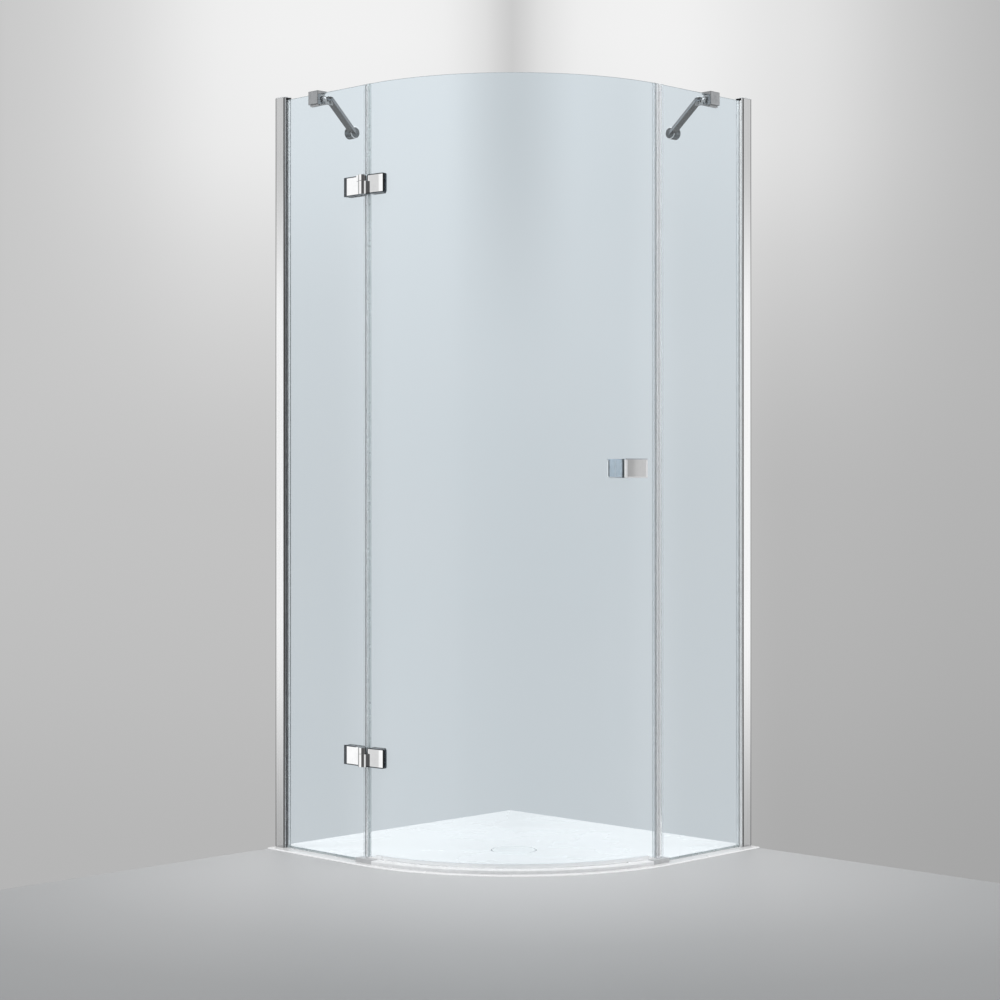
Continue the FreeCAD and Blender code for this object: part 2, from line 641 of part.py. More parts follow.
def end_pocket(stop):
    wide = GLASS_HALF + pocket_gap
    return flat(-wide, wide, 0, stop + pocket_gap, SIDE_GLASS_BOTTOM - pocket_gap, END_HEIGHT + 1)


left_end = left_end.removeSplitter().cut(end_pocket(LEFT_GLASS_END))
right_end = right_end.removeSplitter().cut(to_right(end_pocket(RIGHT_GLASS_END)))

# Stays: made for the left side and mirrored
clamp_stop = CLAMP_START + CLAMP_LENGTH
clamp = Part.makeBox(CLAMP_IN + CLAMP_OUT, CLAMP_LENGTH, CLAMP_TOP - CLAMP_BOTTOM,
                     V(-CLAMP_IN, CLAMP_START, CLAMP_BOTTOM))
clamp = to_side(clamp.makeFillet(1.2, clamp.Edges))
slot = GLASS_HALF + LINER_THICK
clamp = clamp.cut(flat(-slot, slot, 0, 300, 0, GLASS_TOP + LINER_THICK))
notch = 6.0
clamp = clamp.cut(flat(-CLAMP_IN - 1, -slot - 0.6, clamp_stop - notch, clamp_stop + 1,
                       SWIVEL_HEIGHT - SWIVEL_RADIUS - 2, SWIVEL_HEIGHT + SWIVEL_RADIUS + 6))
liner = flat(-slot, slot, CLAMP_START + 3, clamp_stop - 3,
             CLAMP_BOTTOM - LINER_DROP, GLASS_TOP + LINER_THICK)
liner = liner.cut(flat(-GLASS_HALF, GLASS_HALF, 0, 300, 0, GLASS_TOP))
grub_screws = []
for u in (CLAMP_START + 9, clamp_stop - 15):
    grub = side_rod(3.0, (-CLAMP_IN + 0.5, u, CLAMP_BOTTOM + 6), (1, 0, 0), CLAMP_IN - slot - 0.5)
    grub_screws.append(grub)
    clamp = clamp.cut(side_rod(3.0, (-CLAMP_IN - 1, u, CLAMP_BOTTOM + 6), (1, 0, 0),
                               CLAMP_IN + 1 - slot + 0.5))

pivot_start = clamp_stop - 18
disc_start = clamp_stop - notch + 0.3
disc_length = 11.0
pivot = side_rod(2.5, (SWIVEL_V, pivot_start, SWIVEL_HEIGHT), (0, 1, 0), 26)
clamp = clamp.cut(pivot)

near = V(STAY_NEAR_ALONG - HALF, -SIDE_Y + STAY_NEAR_IN, TRAY_THICK + SWIVEL_HEIGHT)
far = V(STAY_WALL_SHORT - HALF, HALF - STAY_WALL_ALONG, TRAY_THICK + STAY_WALL_HEIGHT)
run = far - near
reach = run.Length
ex = V(run).normalize()
ey = V(-ex.y, ex.x, 0).normalize()
ez = ex.cross(ey)
bar_frame = FreeCAD.Placement(FreeCAD.Matrix(
    ex.x, ey.x, ez.x, near.x,
    ex.y, ey.y, ez.y, near.y,
    ex.z, ey.z, ez.z, near.z,
    0, 0, 0, 1))


def to_bar(piece):
    """Puts a piece made along x, flat in z, on the line of the stay."""
    piece = piece.copy()
    piece.Placement = bar_frame.multiply(piece.Placement)
    return piece


def bar_rod(radius, x, z0, z1):
    """Rod across the flat of the bar."""
    return to_bar(Part.makeCylinder(radius, z1 - z0, V(x, 0, z0)))


half_bar = BAR_WIDTH / 2
bar = Part.makeBox(reach, BAR_WIDTH, BAR_THICK, V(0, -half_bar, -BAR_THICK / 2))
for x in (0, reach):
    bar = bar.fuse(Part.makeCylinder(half_bar, BAR_THICK, V(x, 0, -BAR_THICK / 2)))
bar = to_bar(bar.removeSplitter())
for x in (0, reach):
    bar = bar.cut(bar_rod(STAY_PIN_RADIUS, x, -20, 20))

disc = side_rod(SWIVEL_RADIUS, (SWIVEL_V, disc_start, SWIVEL_HEIGHT), (0, 1, 0), disc_length)
tongue_top = SWIVEL_HEIGHT - BAR_THICK / 2 - 3.5
tongue = flat(-STAY_NEAR_IN - 6, SWIVEL_V, clamp_stop + 0.3, STAY_NEAR_ALONG + 6,
              tongue_top - 6, tongue_top)
post = flat(-STAY_NEAR_IN + half_bar + 1.2, SWIVEL_V + 4,
            clamp_stop + 0.3, disc_start + disc_length,
            tongue_top - 6, SWIVEL_HEIGHT)
seat = bar_rod(STAY_SEAT_RADIUS, 0, -BAR_THICK / 2 - 8, -BAR_THICK / 2)
swivel = disc.fuse([tongue, post, seat])
swivel = swivel.cut(pivot)
swivel = swivel.cut(bar_rod(STAY_PIN_RADIUS, 0, -30, 0))

near_pin = bar_rod(STAY_PIN_RADIUS, 0, -BAR_THICK / 2 - 8, BAR_THICK / 2 + 2)
near_pin = near_pin.fuse(bar_rod(STAY_PIN_RADIUS + 2, 0, BAR_THICK / 2, BAR_THICK / 2 + 2))
far_pin = bar_rod(STAY_PIN_RADIUS, reach, -DRUM_RADIUS + 2, DRUM_RADIUS - 2)

drum_y = HALF - STAY_WALL_ALONG
drum_z = TRAY_THICK + STAY_WALL_HEIGHT
wall_x = V(1, 0, 0)
drum = Part.makeCylinder(DRUM_RADIUS, DRUM_LENGTH, V(-HALF, drum_y, drum_z), wall_x)
rim = [edge for edge in drum.Edges
       if len(edge.Vertexes) == 1 and edge.BoundBox.XMin > -HALF + 1]
drum = drum.makeFillet(2.5, rim)
drum = drum.cut(Part.makeCylinder(FOOT_DISC_RADIUS + 0.1, FOOT_DISC_THICK,
                                  V(-HALF, drum_y, drum_z), wall_x))
mouth = Part.makeBox(40, BAR_WIDTH + 1, BAR_THICK + 0.4,
                     V(reach - 40, -half_bar - 0.5, -BAR_THICK / 2 - 0.2))
mouth = mouth.fuse(Part.makeCylinder(half_bar + 0.5, BAR_THICK + 0.4,
                                     V(reach, 0, -BAR_THICK / 2 - 0.2)))
drum = drum.cut(to_bar(mouth)).cut(far_pin)

foot = Part.makeCylinder(FOOT_DISC_RADIUS, FOOT_DISC_THICK, V(-HALF, drum_y, drum_z), wall_x)
foot = foot.cut(Part.makeCylinder(WALL_HOLE_RADIUS, 20, V(-HALF - 1, drum_y, drum_z), wall_x))
foot = foot.cut(Part.makeCone(WALL_HOLE_RADIUS, 5.0, 2.5,
                              V(-HALF + FOOT_DISC_THICK - 2.5, drum_y, drum_z), wall_x))
lock_length = DRUM_RADIUS - FOOT_DISC_RADIUS - 0.5
foot_lock = Part.makeCylinder(1.6, lock_length,
                              V(-HALF + FOOT_DISC_THICK / 2, drum_y, drum_z - DRUM_RADIUS + 0.5))
drum = drum.cut(Part.makeCylinder(1.6, DRUM_RADIUS - 5,
                                  V(-HALF + FOOT_DISC_THICK / 2, drum_y, drum_z - DRUM_RADIUS - 1)))

# Left and right instances
pairs = {
    "wall_channel": wall_channel,
    "glazing_channel": glazing,
    "channel_cap": cap,
    "glazing_gasket": gasket,
    "stay_clamp": clamp,
    "stay_swivel": swivel,
    "stay_bar": bar,
    "stay_bracket": drum,
    "stay_foot": foot,
}
for name, shape in pairs.items():
    nodes[name + "_left"] = solid(shape)
    nodes[name + "_right"] = solid(to_right(shape))

groups = {
    "channel_lock_screws": lock_screws,
    "stay_liners": [solid(liner)],
    "stay_grub_screws": grub_screws,
    "stay_foot_screws": [foot_lock],
    "stay_pivot_pins": [pivot],
    "stay_bar_pins": [solid(near_pin)],
    "stay_bracket_pins": [far_pin],
}
for name, shapes in groups.items():
    both = shapes + [to_right(shape) for shape in shapes]
    nodes[name] = Part.makeCompound(both)

nodes["side_glass_left"] = solid(side_left)
nodes["side_glass_right"] = solid(to_right(side_right))
nodes["sill_seal_left"] = solid(sill_left)
nodes["sill_seal_right"] = solid(to_right(sill_right))
nodes["door_glass"] = solid(door_glass)
nodes["drip_seal"] = drip_seal
nodes["hinge_seal_frame"] = solid(frame_seal)
nodes["hinge_seal_door"] = solid(door_seal)
nodes["magnet_seal_frame"] = solid(to_right(frame_magnet))
nodes["magnet_seal_door"] = solid(door_magnet)
nodes["magnet_bar_frame"] = solid(to_right(frame_bar))
nodes["magnet_bar_door"] = solid(door_bar)
nodes["handle_outer"] = solid(handle_outer)
nodes["handle_inner"] = solid(handle_inner)
nodes["handle_studs"] = Part.makeCompound(studs)
nodes["handle_washers"] = Part.makeCompound(washers)
nodes["threshold_rail"] = rail
nodes["rail_end_left"] = solid(left_end)
nodes["rail_end_right"] = solid(right_end)

plates_of(nodes)
print(len(nodes), "nodes")
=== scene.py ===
# %% [markdown]
# # A quadrant shower enclosure, dressed for its picture
#
# A quadrant enclosure fills a room corner. Two straight panes stand at right angles
# to the walls, a curved glass door closes the rounded front, and a low white tray
# carries it all. The exact solids come first and stay as the fixed frame; each cell
# below then makes one smooth piece or one finish, in metres and in the same place.

import json
import math

import bmesh
import bpy
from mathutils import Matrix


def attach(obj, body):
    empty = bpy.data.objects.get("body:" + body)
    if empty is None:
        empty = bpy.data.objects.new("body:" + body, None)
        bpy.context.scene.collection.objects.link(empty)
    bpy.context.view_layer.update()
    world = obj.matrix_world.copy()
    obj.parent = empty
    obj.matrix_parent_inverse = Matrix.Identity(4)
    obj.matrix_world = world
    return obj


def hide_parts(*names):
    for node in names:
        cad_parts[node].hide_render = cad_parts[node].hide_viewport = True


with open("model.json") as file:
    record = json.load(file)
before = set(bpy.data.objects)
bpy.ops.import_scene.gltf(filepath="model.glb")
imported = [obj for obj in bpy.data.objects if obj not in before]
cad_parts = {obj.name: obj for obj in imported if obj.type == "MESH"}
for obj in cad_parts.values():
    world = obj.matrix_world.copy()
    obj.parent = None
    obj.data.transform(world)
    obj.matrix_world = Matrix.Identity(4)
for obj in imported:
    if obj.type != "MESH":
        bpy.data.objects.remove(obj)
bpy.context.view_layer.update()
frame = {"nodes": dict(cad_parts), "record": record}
nodes = frame["nodes"]
for plain in bpy.data.materials:
    plain.name = "plain_" + plain.name

# %% [markdown]
# ## Where things are
#
# The room corner is at low X and high Y. On the left side a place is easy to give as
# three lengths: `v` outwards through the glass, `u` away from the wall, and `h` above
# the tray. On the curved door `s` runs along the bend instead of `u`. Two small
# functions turn these into room coordinates, so every later cell can speak the
# language of the fitter who measures from wall, glass and tray.

# %% Main sizes and places
SIDE = 0.900
TRAY_TOP = 0.030
BEND_X, BEND_Y = -0.100, 0.100
GLASS_LINE = 0.4114
BEND = 0.5114
BEND_LENGTH = BEND * math.pi / 2
HALF_GLASS = 0.003
GLASS_TOP = 1.932


def beside_wall(v, u, h):
    """A place beside the left pane."""
    return (u - SIDE / 2, -GLASS_LINE - v, TRAY_TOP + h)


def turn_at(s):
    """The direction out of the bend at the length s, as an angle in plan."""
    return s / BEND - math.pi / 2


def on_bend(v, s, h):
    """A place on or beside the curved glass."""
    reach = BEND + v
    angle = turn_at(s)
    return (BEND_X + reach * math.cos(angle), BEND_Y + reach * math.sin(angle), TRAY_TOP + h)


print("curved glass:", round(BEND_LENGTH * 1000, 1), "mm along the bend")

# %% [markdown]
# ## The hands: choosing and shaping
#
# Modelling by hand is always the same loop: choose one piece, choose faces or edges
# on it, apply an operator. Operators work on everything selected, so each helper
# clears the selection first. Faces, edges and points are chosen by a test on their
# place, which keeps a step readable: "the edge at the top front".

# %% Selecting and editing helpers
PICK_MODES = {"verts": "VERT", "edges": "EDGE", "faces": "FACE"}


def alone(piece):
    """Object mode with only this piece selected and active."""
    if bpy.context.mode != "OBJECT":
        bpy.ops.object.mode_set(mode="OBJECT")
    bpy.ops.object.select_all(action="DESELECT")
    piece.select_set(True)
    bpy.context.view_layer.objects.active = piece
    return piece


def settle(piece, name=None):
    """Puts the piece's place into its mesh, and names it."""
    alone(piece)
    bpy.ops.object.transform_apply(location=True, rotation=True, scale=True)
    if name:
        piece.name = name
        piece.data.name = name
    return piece


def edit(piece):
    """Opens the piece in edit mode with everything selected."""
    alone(piece)
    bpy.ops.object.mode_set(mode="EDIT")
    bpy.ops.mesh.select_all(action="SELECT")


def leave_edit():
    """Back to object mode."""
    bpy.ops.object.mode_set(mode="OBJECT")


def centre(part):
    """The middle of a point, edge or face."""
    if hasattr(part, "co"):
        return part.co
    if hasattr(part, "calc_center_median"):
        return part.calc_center_median()
    return (part.verts[0].co + part.verts[1].co) / 2


def pick(kind, test):
    """In edit mode, selects only the parts whose middle passes the test."""
    bpy.ops.mesh.select_mode(type=PICK_MODES[kind])
    bpy.ops.mesh.select_all(action="DESELECT")
    mesh = bpy.context.object.data
    shape = bmesh.from_edit_mesh(mesh)
    found = [part for part in getattr(shape, kind) if test(part, centre(part))]
    for part in found:
        part.select_set(True)
    bmesh.update_edit_mesh(mesh)
    return len(found)


def along(edge, axis):
    """True for an edge that runs along one axis (0, 1 or 2)."""
    run = edge.verts[1].co - edge.verts[0].co
    return run.length > 1e-7 and abs(run[axis]) > 0.999 * run.length


def outwards(piece):
    """Merges doubled points and turns all faces outwards."""
    edit(piece)
    bpy.ops.mesh.remove_doubles(threshold=0.00001)
    bpy.ops.mesh.normals_make_consistent(inside=False)
    leave_edit()
    return piece


def crisp(piece, angle=35):
    """Smooth shading on curves and roundings, while large flat faces stay flat."""
    alone(piece)
    bpy.ops.object.shade_smooth_by_angle(angle=math.radians(angle))
    weighted = piece.modifiers.new("flat", "WEIGHTED_NORMAL")
    weighted.keep_sharp = True
    bpy.ops.object.modifier_apply(modifier=weighted.name)
    return piece


def soften(piece, width, segments=2, angle=35):
    """Rounds every sharp edge a little, as a real edge is, and shades it crisply."""
    outwards(piece)
    bevel = piece.modifiers.new("edge", "BEVEL")
    bevel.width = width
    bevel.segments = segments
    bevel.limit_method = "ANGLE"
    bevel.angle_limit = math.radians(angle)
    alone(piece)
    bpy.ops.object.modifier_apply(modifier=bevel.name)
    return crisp(piece, angle)


def sliced(piece, cuts):
    """Cuts the faces along planes, so that a finish can end there; the shape stays."""
    edit(piece)
    for place, direction in cuts:
        bpy.ops.mesh.select_all(action="SELECT")
        bpy.ops.mesh.bisect(plane_co=place, plane_no=direction)
    leave_edit()


def wear(piece, finishes, choice):
    """Gives a piece several finishes; choice picks one by number for each face."""
    for finish in finishes:
        piece.data.materials.append(finish)
    for face in piece.data.polygons:
        face.material_index = choice(face)
    return piece


# %% [markdown]
# ## Starting shapes
#
# Nearly everything on the enclosure is cut from bar, sheet or drawn section. So two
# starting shapes are enough: a block between two corners for straight pieces, and an
# upright rectangle across the glass that is spun round the bend for curved ones.
# Cutting one shape with another stands in for the saw and the milling cutter.

# %% Blocks, rods, sections and cuts
def block(name, low, high):
    """A block between two corners."""
    middle = [(a + b) / 2 for a, b in zip(low, high)]
    bpy.ops.mesh.primitive_cube_add(size=1, location=middle)
    piece = bpy.context.object
    piece.scale = [abs(b - a) for a, b in zip(low, high)]
    return settle(piece, name)


def rod(name, radius, length, middle, lean=(0, 0, 0), around=48):
    """A round rod, upright unless it is leant."""
    bpy.ops.mesh.primitive_cylinder_add(
        vertices=around, radius=radius, depth=length, location=middle, rotation=lean)
    return settle(bpy.context.object, name)


def section(name, v0, v1, h0, h1, s):
    """A rectangle that stands across the line of the glass at s."""
    middle = on_bend((v0 + v1) / 2, s, (h0 + h1) / 2)
    bpy.ops.mesh.primitive_plane_add(
        size=1, location=middle, rotation=(math.pi / 2, 0, turn_at(s)))
    piece = bpy.context.object
    piece.scale = (v1 - v0, h1 - h0, 1)
    return settle(piece, name)


def sweep(piece, length, steps):
    """Spins the selected outline round the bend by a length measured on the glass."""
    bpy.ops.mesh.spin(steps=steps, angle=length / BEND,
                      center=(BEND_X, BEND_Y, 0), axis=(0, 0, -1))


def shape_with(piece, tool, how):
    """Cuts, joins or intersects the piece with a tool, and removes the tool."""
    outwards(piece)
    outwards(tool)
    cut = piece.modifiers.new("cut", "BOOLEAN")
    cut.operation = how
    cut.object = tool
    cut.solver = "EXACT"
    alone(piece)
    bpy.ops.object.modifier_apply(modifier=cut.name)
    bpy.data.objects.remove(tool, do_unlink=True)
    return piece


def joined(name, parts):
    """Several shapes as one piece."""
    alone(parts[0])
    for part in parts[1:]:
        part.select_set(True)
    bpy.ops.object.join()
    parts[0].name = name
    parts[0].data.name = name
    return parts[0]


def copied(piece, name):
    """A copy with a mesh of its own."""
    twin = piece.copy()
    twin.data = piece.data.copy()
    twin.name = name
    twin.data.name = name
    bpy.context.collection.objects.link(twin)
    return twin


def mirrored(piece, name):
    """The right-hand twin: the mirror image across the corner's diagonal."""
    twin = copied(piece, name)
    twin.scale = (-1, 1, 1)
    twin.rotation_euler = (0, 0, math.pi / 2)
    settle(twin)
    edit(twin)
    bpy.ops.mesh.customdata_custom_splitnormals_clear()
    bpy.ops.mesh.normals_make_consistent(inside=False)
    return crisp(twin)


print("helpers ready")

# %% [markdown]
# ## Surface effects shared by several finishes
#
# Real finishes are never one flat value. Polished metal carries faint wiping marks,
# a drawn profile shows grain along its length, and moulded or cast surfaces are
# softly mottled. Light and shade are painted in as well: a long profile gets a painted
# reflection that is brightest at half height and painted shade in the corner where it
# meets the wall, turned chrome gets painted dark and bright reflection bands that go
# by how far its surface looks up, and the tray gets painted shade on its flange outside
# the glass. Each effect is a node group with named inputs and outputs, so it is built
# once and each finish gives it its own values. The groups read Object coordinates,
# which stay on the piece when it moves with the door; only the bands read the
# direction of the surface, and they are used on the fixed stays.

# %% Node helpers
def linear(grey):
    """A screen grey from 0 to 255 as a light value."""
    part = grey / 255
    return part / 12.92 if part <= 0.04045 else ((part + 0.055) / 1.055) ** 2.4


def tone(red, green, blue):
    """A screen colour as a light colour."""
    return (linear(red), linear(green), linear(blue), 1)


def feed(tree, value, socket):
    """Sets a socket to a plain value, or links another node's output to it."""
    if isinstance(value, bpy.types.NodeSocket):
        tree.links.new(value, socket)
    else:
        socket.default_value = value


def new_group(name, inputs, outputs):
    """An empty group with inputs given as label: value and outputs as label: kind."""
    tree = bpy.data.node_groups.new(name, "ShaderNodeTree")
    for label, value in inputs.items():
        kind = "NodeSocketColor" if isinstance(value, tuple) else "NodeSocketFloat"
        socket = tree.interface.new_socket(name=label, in_out="INPUT", socket_type=kind)
        socket.default_value = value
    for label, kind in outputs.items():
        tree.interface.new_socket(name=label, in_out="OUTPUT", socket_type="NodeSocket" + kind)
    return tree, tree.nodes.new("NodeGroupInput").outputs, tree.nodes.new("NodeGroupOutput")


def closed_group(tree, end, **results):
    """Feeds the group's outputs and returns the finished group."""
    for label, result in results.items():
        feed(tree, result, end.inputs[label])
    return tree


def add_node(tree, kind, settings=None, **values):
    """A node with its settings; values feed its inputs, _ standing for a space."""
    node = tree.nodes.new("ShaderNode" + kind)
    for label, value in (settings or {}).items():
        setattr(node, label, value)
    for label, value in values.items():
        feed(tree, value, node.inputs[label.replace("_", " ")])
    return node


def maths(tree, operation, *values, clamp=False):
    """One sum on values or sockets; returns its result socket."""
    node = add_node(tree, "Math", {"operation": operation, "use_clamp": clamp})
    for place, value in enumerate(values):
        feed(tree, value, node.inputs[place])
    return node.outputs[0]


def times(tree, first, *others):
    """Values or sockets multiplied in turn."""
    for other in others:
        first = maths(tree, "MULTIPLY", first, other)
    return first


def plus(tree, first, *others):
    """Values or sockets added in turn."""
    for other in others:
        first = maths(tree, "ADD", first, other)
    return first


def minus(tree, value, taken):
    """A value or socket less another."""
    return maths(tree, "SUBTRACT", value, taken)


def stretch(tree, value, low, high, new_low, new_high):
    """Maps a value from one range to another, with smooth ends."""
    return add_node(tree, "MapRange", {"interpolation_type": "SMOOTHSTEP"}, Value=value,
                    From_Min=low, From_Max=high, To_Min=new_low, To_Max=new_high).outputs["Result"]


def on_piece(tree):
    """The place on the piece, which stays with it when it moves."""
    return add_node(tree, "TexCoord").outputs["Object"]


def split_up(tree, vector):
    """The X, Y and Z of a place or direction."""
    return add_node(tree, "SeparateXYZ", Vector=vector).outputs


def mixed(tree, share, first, second):
    """Two colours mixed; a share of 1 gives the second."""
    node = add_node(tree, "Mix", {"data_type": "RGBA"})
    for socket, value in ((node.inputs["Factor"], share), (node.inputs[6], first),
                          (node.inputs[7], second)):
        feed(tree, value, socket)
    return node.outputs[2]


def mixed_shader(tree, share, first, second):
    """Two shaders mixed; a share of 1 gives the second."""
    node = add_node(tree, "MixShader")
    for place, socket in enumerate((share, first, second)):
        feed(tree, socket, node.inputs[place])
    return node.outputs[0]


def scaled(tree, colour, factor):
    """A colour times a value."""
    return add_node(tree, "VectorMath", {"operation": "SCALE"}, Vector=colour,
                    Scale=factor).outputs[0]


def ramp(tree, factor, stops, kind="LINEAR"):
    """A colour ramp over a 0 to 1 factor; stops are (place, colour)."""
    node = add_node(tree, "ValToRGB", Fac=factor)
    colours = node.color_ramp
    colours.interpolation = kind
    while len(colours.elements) < len(stops):
        colours.elements.new(0.5)
    for stop, (spot, colour) in zip(colours.elements, stops):
        stop.position = spot
        stop.color = colour
    return node.outputs["Color"]


# %% Group: wiping marks on polished surfaces
tree, start, end = new_group("wiping_marks", {"Scale": 30.0, "Amount": 0.05, "Roughness": 0.08},
                             {"Roughness": "Float", "Mask": "Float"})
place = on_piece(tree)
broad = add_node(tree, "TexNoise", Vector=place, Scale=start["Scale"], Detail=3.0, Roughness=0.6)
fine = add_node(tree, "TexNoise", Vector=place, Scale=times(tree, start["Scale"], 6.0),
                Detail=2.0, Distortion=1.2)
patches = stretch(tree, broad.outputs["Fac"], 0.35, 0.7, 0.0, 1.0)
streaks = stretch(tree, fine.outputs["Fac"], 0.4, 0.75, 0.0, 1.0)
mask = times(tree, patches, plus(tree, 0.5, times(tree, streaks, 0.5)))
rough = maths(tree, "MULTIPLY_ADD", mask, start["Amount"], start["Roughness"])
wiping_marks = closed_group(tree, end, Roughness=rough, Mask=mask)

# %% Group: grain along a drawn profile
tree, start, end = new_group(
    "drawn_grain", {"Across": 900.0, "Lengthwise": 3.0, "Amount": 0.1, "Roughness": 0.2},
    {"Roughness": "Float", "Height": "Float", "Mask": "Float"})
place = split_up(tree, on_piece(tree))
fibres = add_node(tree, "CombineXYZ", **{
    axis: times(tree, place[axis], start[label])
    for axis, label in (("X", "Across"), ("Y", "Across"), ("Z", "Lengthwise"))})
grain = add_node(tree, "TexNoise", Vector=fibres.outputs[0], Scale=1.0, Detail=4.0,
                 Roughness=0.65)
mask = stretch(tree, grain.outputs["Fac"], 0.3, 0.7, 0.0, 1.0)
rough = maths(tree, "MULTIPLY_ADD", mask, start["Amount"], start["Roughness"])
drawn_grain = closed_group(tree, end, Roughness=rough, Height=mask, Mask=mask)

# %% Group: painted reflection and painted shade along a profile
tree, start, end = new_group(
    "profile_shade", {"Foot": 0.5, "Head": 0.6, "Line": 0.447, "Depth": 0.7},
    {"Factor": "Float"})
LINE_SHARPNESS = 900.0
place = split_up(tree, on_piece(tree))
foot = stretch(tree, place["Z"], 0.0, 0.62, 0.0, 1.0)
head = stretch(tree, place["Z"], 1.35, 1.85, 0.0, 1.0)
from_foot = maths(tree, "MULTIPLY_ADD", minus(tree, 1.0, start["Foot"]), foot, start["Foot"])
from_head = maths(tree, "MULTIPLY_ADD", minus(tree, start["Head"], 1.0), head, 1.0)
to_wall = maths(tree, "MAXIMUM", times(tree, place["X"], -1.0), place["Y"])
past = maths(tree, "MULTIPLY", minus(tree, to_wall, start["Line"]), LINE_SHARPNESS, clamp=True)
line = minus(tree, 1.0, times(tree, past, start["Depth"]))
profile_shade = closed_group(tree, end, Factor=times(tree, from_foot, from_head, line))

# %% Group: painted dark and bright reflection bands of turned and cast chrome
tree, start, end = new_group("horizon_sheen", {"Below": 0.2, "Above": 1.6},
                             {"Factor": "Float"})
upright = split_up(tree, add_node(tree, "NewGeometry").outputs["Normal"])["Z"]
under = stretch(tree, upright, -0.96, -0.84, 0.0, 1.0)
body = maths(tree, "MULTIPLY_ADD", minus(tree, 1.0, start["Below"]), under, start["Below"])
stripe = times(tree, stretch(tree, upright, -0.9, -0.8, 0.0, 2.2),
               stretch(tree, upright, -0.55, -0.4, 1.0, 0.0))
band = times(tree, stretch(tree, upright, 0.12, 0.25, 0.0, 0.45),
             stretch(tree, upright, 0.5, 0.65, 1.0, 0.0))
top = stretch(tree, upright, 0.5, 0.75, 0.0, 1.0)
crown = times(tree, minus(tree, start["Above"], 1.0), top)
horizon_sheen = closed_group(
    tree, end, Factor=minus(tree, plus(tree, body, stripe, crown), band))

# %% Group: painted shade on the flange outside the glass
tree, start, end = new_group("flange_shade", {"Round": 0.55, "Centre": 0.10, "Depth": 0.2},
                             {"Factor": "Float"})
place = split_up(tree, on_piece(tree))
along_x = maths(tree, "MAXIMUM", plus(tree, place["X"], start["Centre"]), 0.0)
along_y = maths(tree, "MAXIMUM", minus(tree, start["Centre"], place["Y"]), 0.0)
reach_out = maths(tree, "SQRT", plus(tree, maths(tree, "POWER", along_x, 2.0),
                                     maths(tree, "POWER", along_y, 2.0)))
to_edge = minus(tree, start["Round"], reach_out)
flange = times(tree, stretch(tree, to_edge, 0.0325, 0.036, 1.0, 0.0),
               stretch(tree, to_edge, 0.0005, 0.002, 0.0, 1.0))
flange_shade = closed_group(
    tree, end, Factor=minus(tree, 1.0, times(tree, flange, start["Depth"])))

# %% Group: soft mottle of cast and moulded surfaces
tree, start, end = new_group(
    "soft_mottle",
    {"Scale": 12.0, "Light": (0.8, 0.8, 0.8, 1.0), "Dark": (0.7, 0.7, 0.7, 1.0),
     "Fine Scale": 400.0},
    {"Color": "Color", "Mask": "Float", "Height": "Float"})
place = on_piece(tree)
cloud = add_node(tree, "TexNoise", Vector=place, Scale=start["Scale"], Detail=4.0)
mask = stretch(tree, cloud.outputs["Fac"], 0.3, 0.7, 0.0, 1.0)
orange_peel = add_node(tree, "TexNoise", Vector=place, Scale=start["Fine Scale"], Detail=2.0)
soft_mottle = closed_group(tree, end, Color=mixed(tree, mask, start["Light"], start["Dark"]),
                           Mask=mask, Height=orange_peel.outputs["Fac"])
print("groups:", [item.name for item in bpy.data.node_groups])

# %% [markdown]
# ## Finishes
#
# Bright chrome covers the hinges and knobs: a metal with almost no roughness, so its
# look comes from what it mirrors. The stays wear darker copies of that chrome, painted
# shade for the darker part of the room that they mirror, with painted reflection
# bands; the dark edges of the hinge leaves wear a dark chrome as painted reflection,
# and the knobs' webs a paler one as painted light. The wall channels are polished
# aluminium, a little softer and grained along their length, with painted reflection
# and shade along them. One function makes every chrome and one every profile,
# because only the values differ.

# %% Metals
def new_finish(name):
    """A material with its Principled BSDF, and the tree to wire it in."""
    finish = bpy.data.materials.new(name)
    finish.use_nodes = True
    return finish, finish.node_tree, finish.node_tree.nodes["Principled BSDF"]


def place_group(tree, group, **values):
    """Puts a group into a material with values of its own; returns its outputs."""
    return add_node(tree, "Group", {"node_tree": group}, **values).outputs


def relief(tree, height, shader, depth, strength=1.0):
    """Feeds a height into the shader as a bump."""
    bump = add_node(tree, "Bump", Strength=strength, Distance=depth, Height=height)
    feed(tree, bump.outputs["Normal"], shader.inputs["Normal"])


def dimmed(tree, shader, group, **values):
    """Multiplies the base colour of a shader by a group's factor."""
    colour = shader.inputs["Base Color"].links[0].from_socket
    factor = place_group(tree, group, **values)["Factor"]
    feed(tree, scaled(tree, colour, factor), shader.inputs["Base Color"])


def metal(name, bright, dull, group, **values):
    """Metal between two tones, with its roughness and mask from a group."""
    finish, tree, shader = new_finish(name)
    shader.inputs["Metallic"].default_value = 1.0
    marks = place_group(tree, group, **values)
    feed(tree, marks["Roughness"], shader.inputs["Roughness"])
    feed(tree, mixed(tree, marks["Mask"], bright, dull), shader.inputs["Base Color"])
    return finish, tree, shader, marks


def polished(name, bright, dull, rough, marks, scale, **sheen):
    """Polished metal with wiping marks; the sheen values add painted reflection bands that tell
    tops and undersides apart.
    """
    finish, tree, shader, _ = metal(name, bright, dull, wiping_marks,
                                    Scale=scale, Amount=marks, Roughness=rough)
    if sheen:
        dimmed(tree, shader, horizon_sheen, **sheen)
    return finish


def drawn(name, bright, dull, rough, grain, **shade):
    """Drawn metal profile with grain along its length, with painted reflection and shade from foot
    to head and towards the wall.
    """
    finish, tree, shader, marks = metal(name, bright, dull, drawn_grain,
                                        Amount=grain, Roughness=rough)
    relief(tree, marks["Height"], shader, 0.00002, 0.3)
    dimmed(tree, shader, profile_shade, **shade)
    return finish


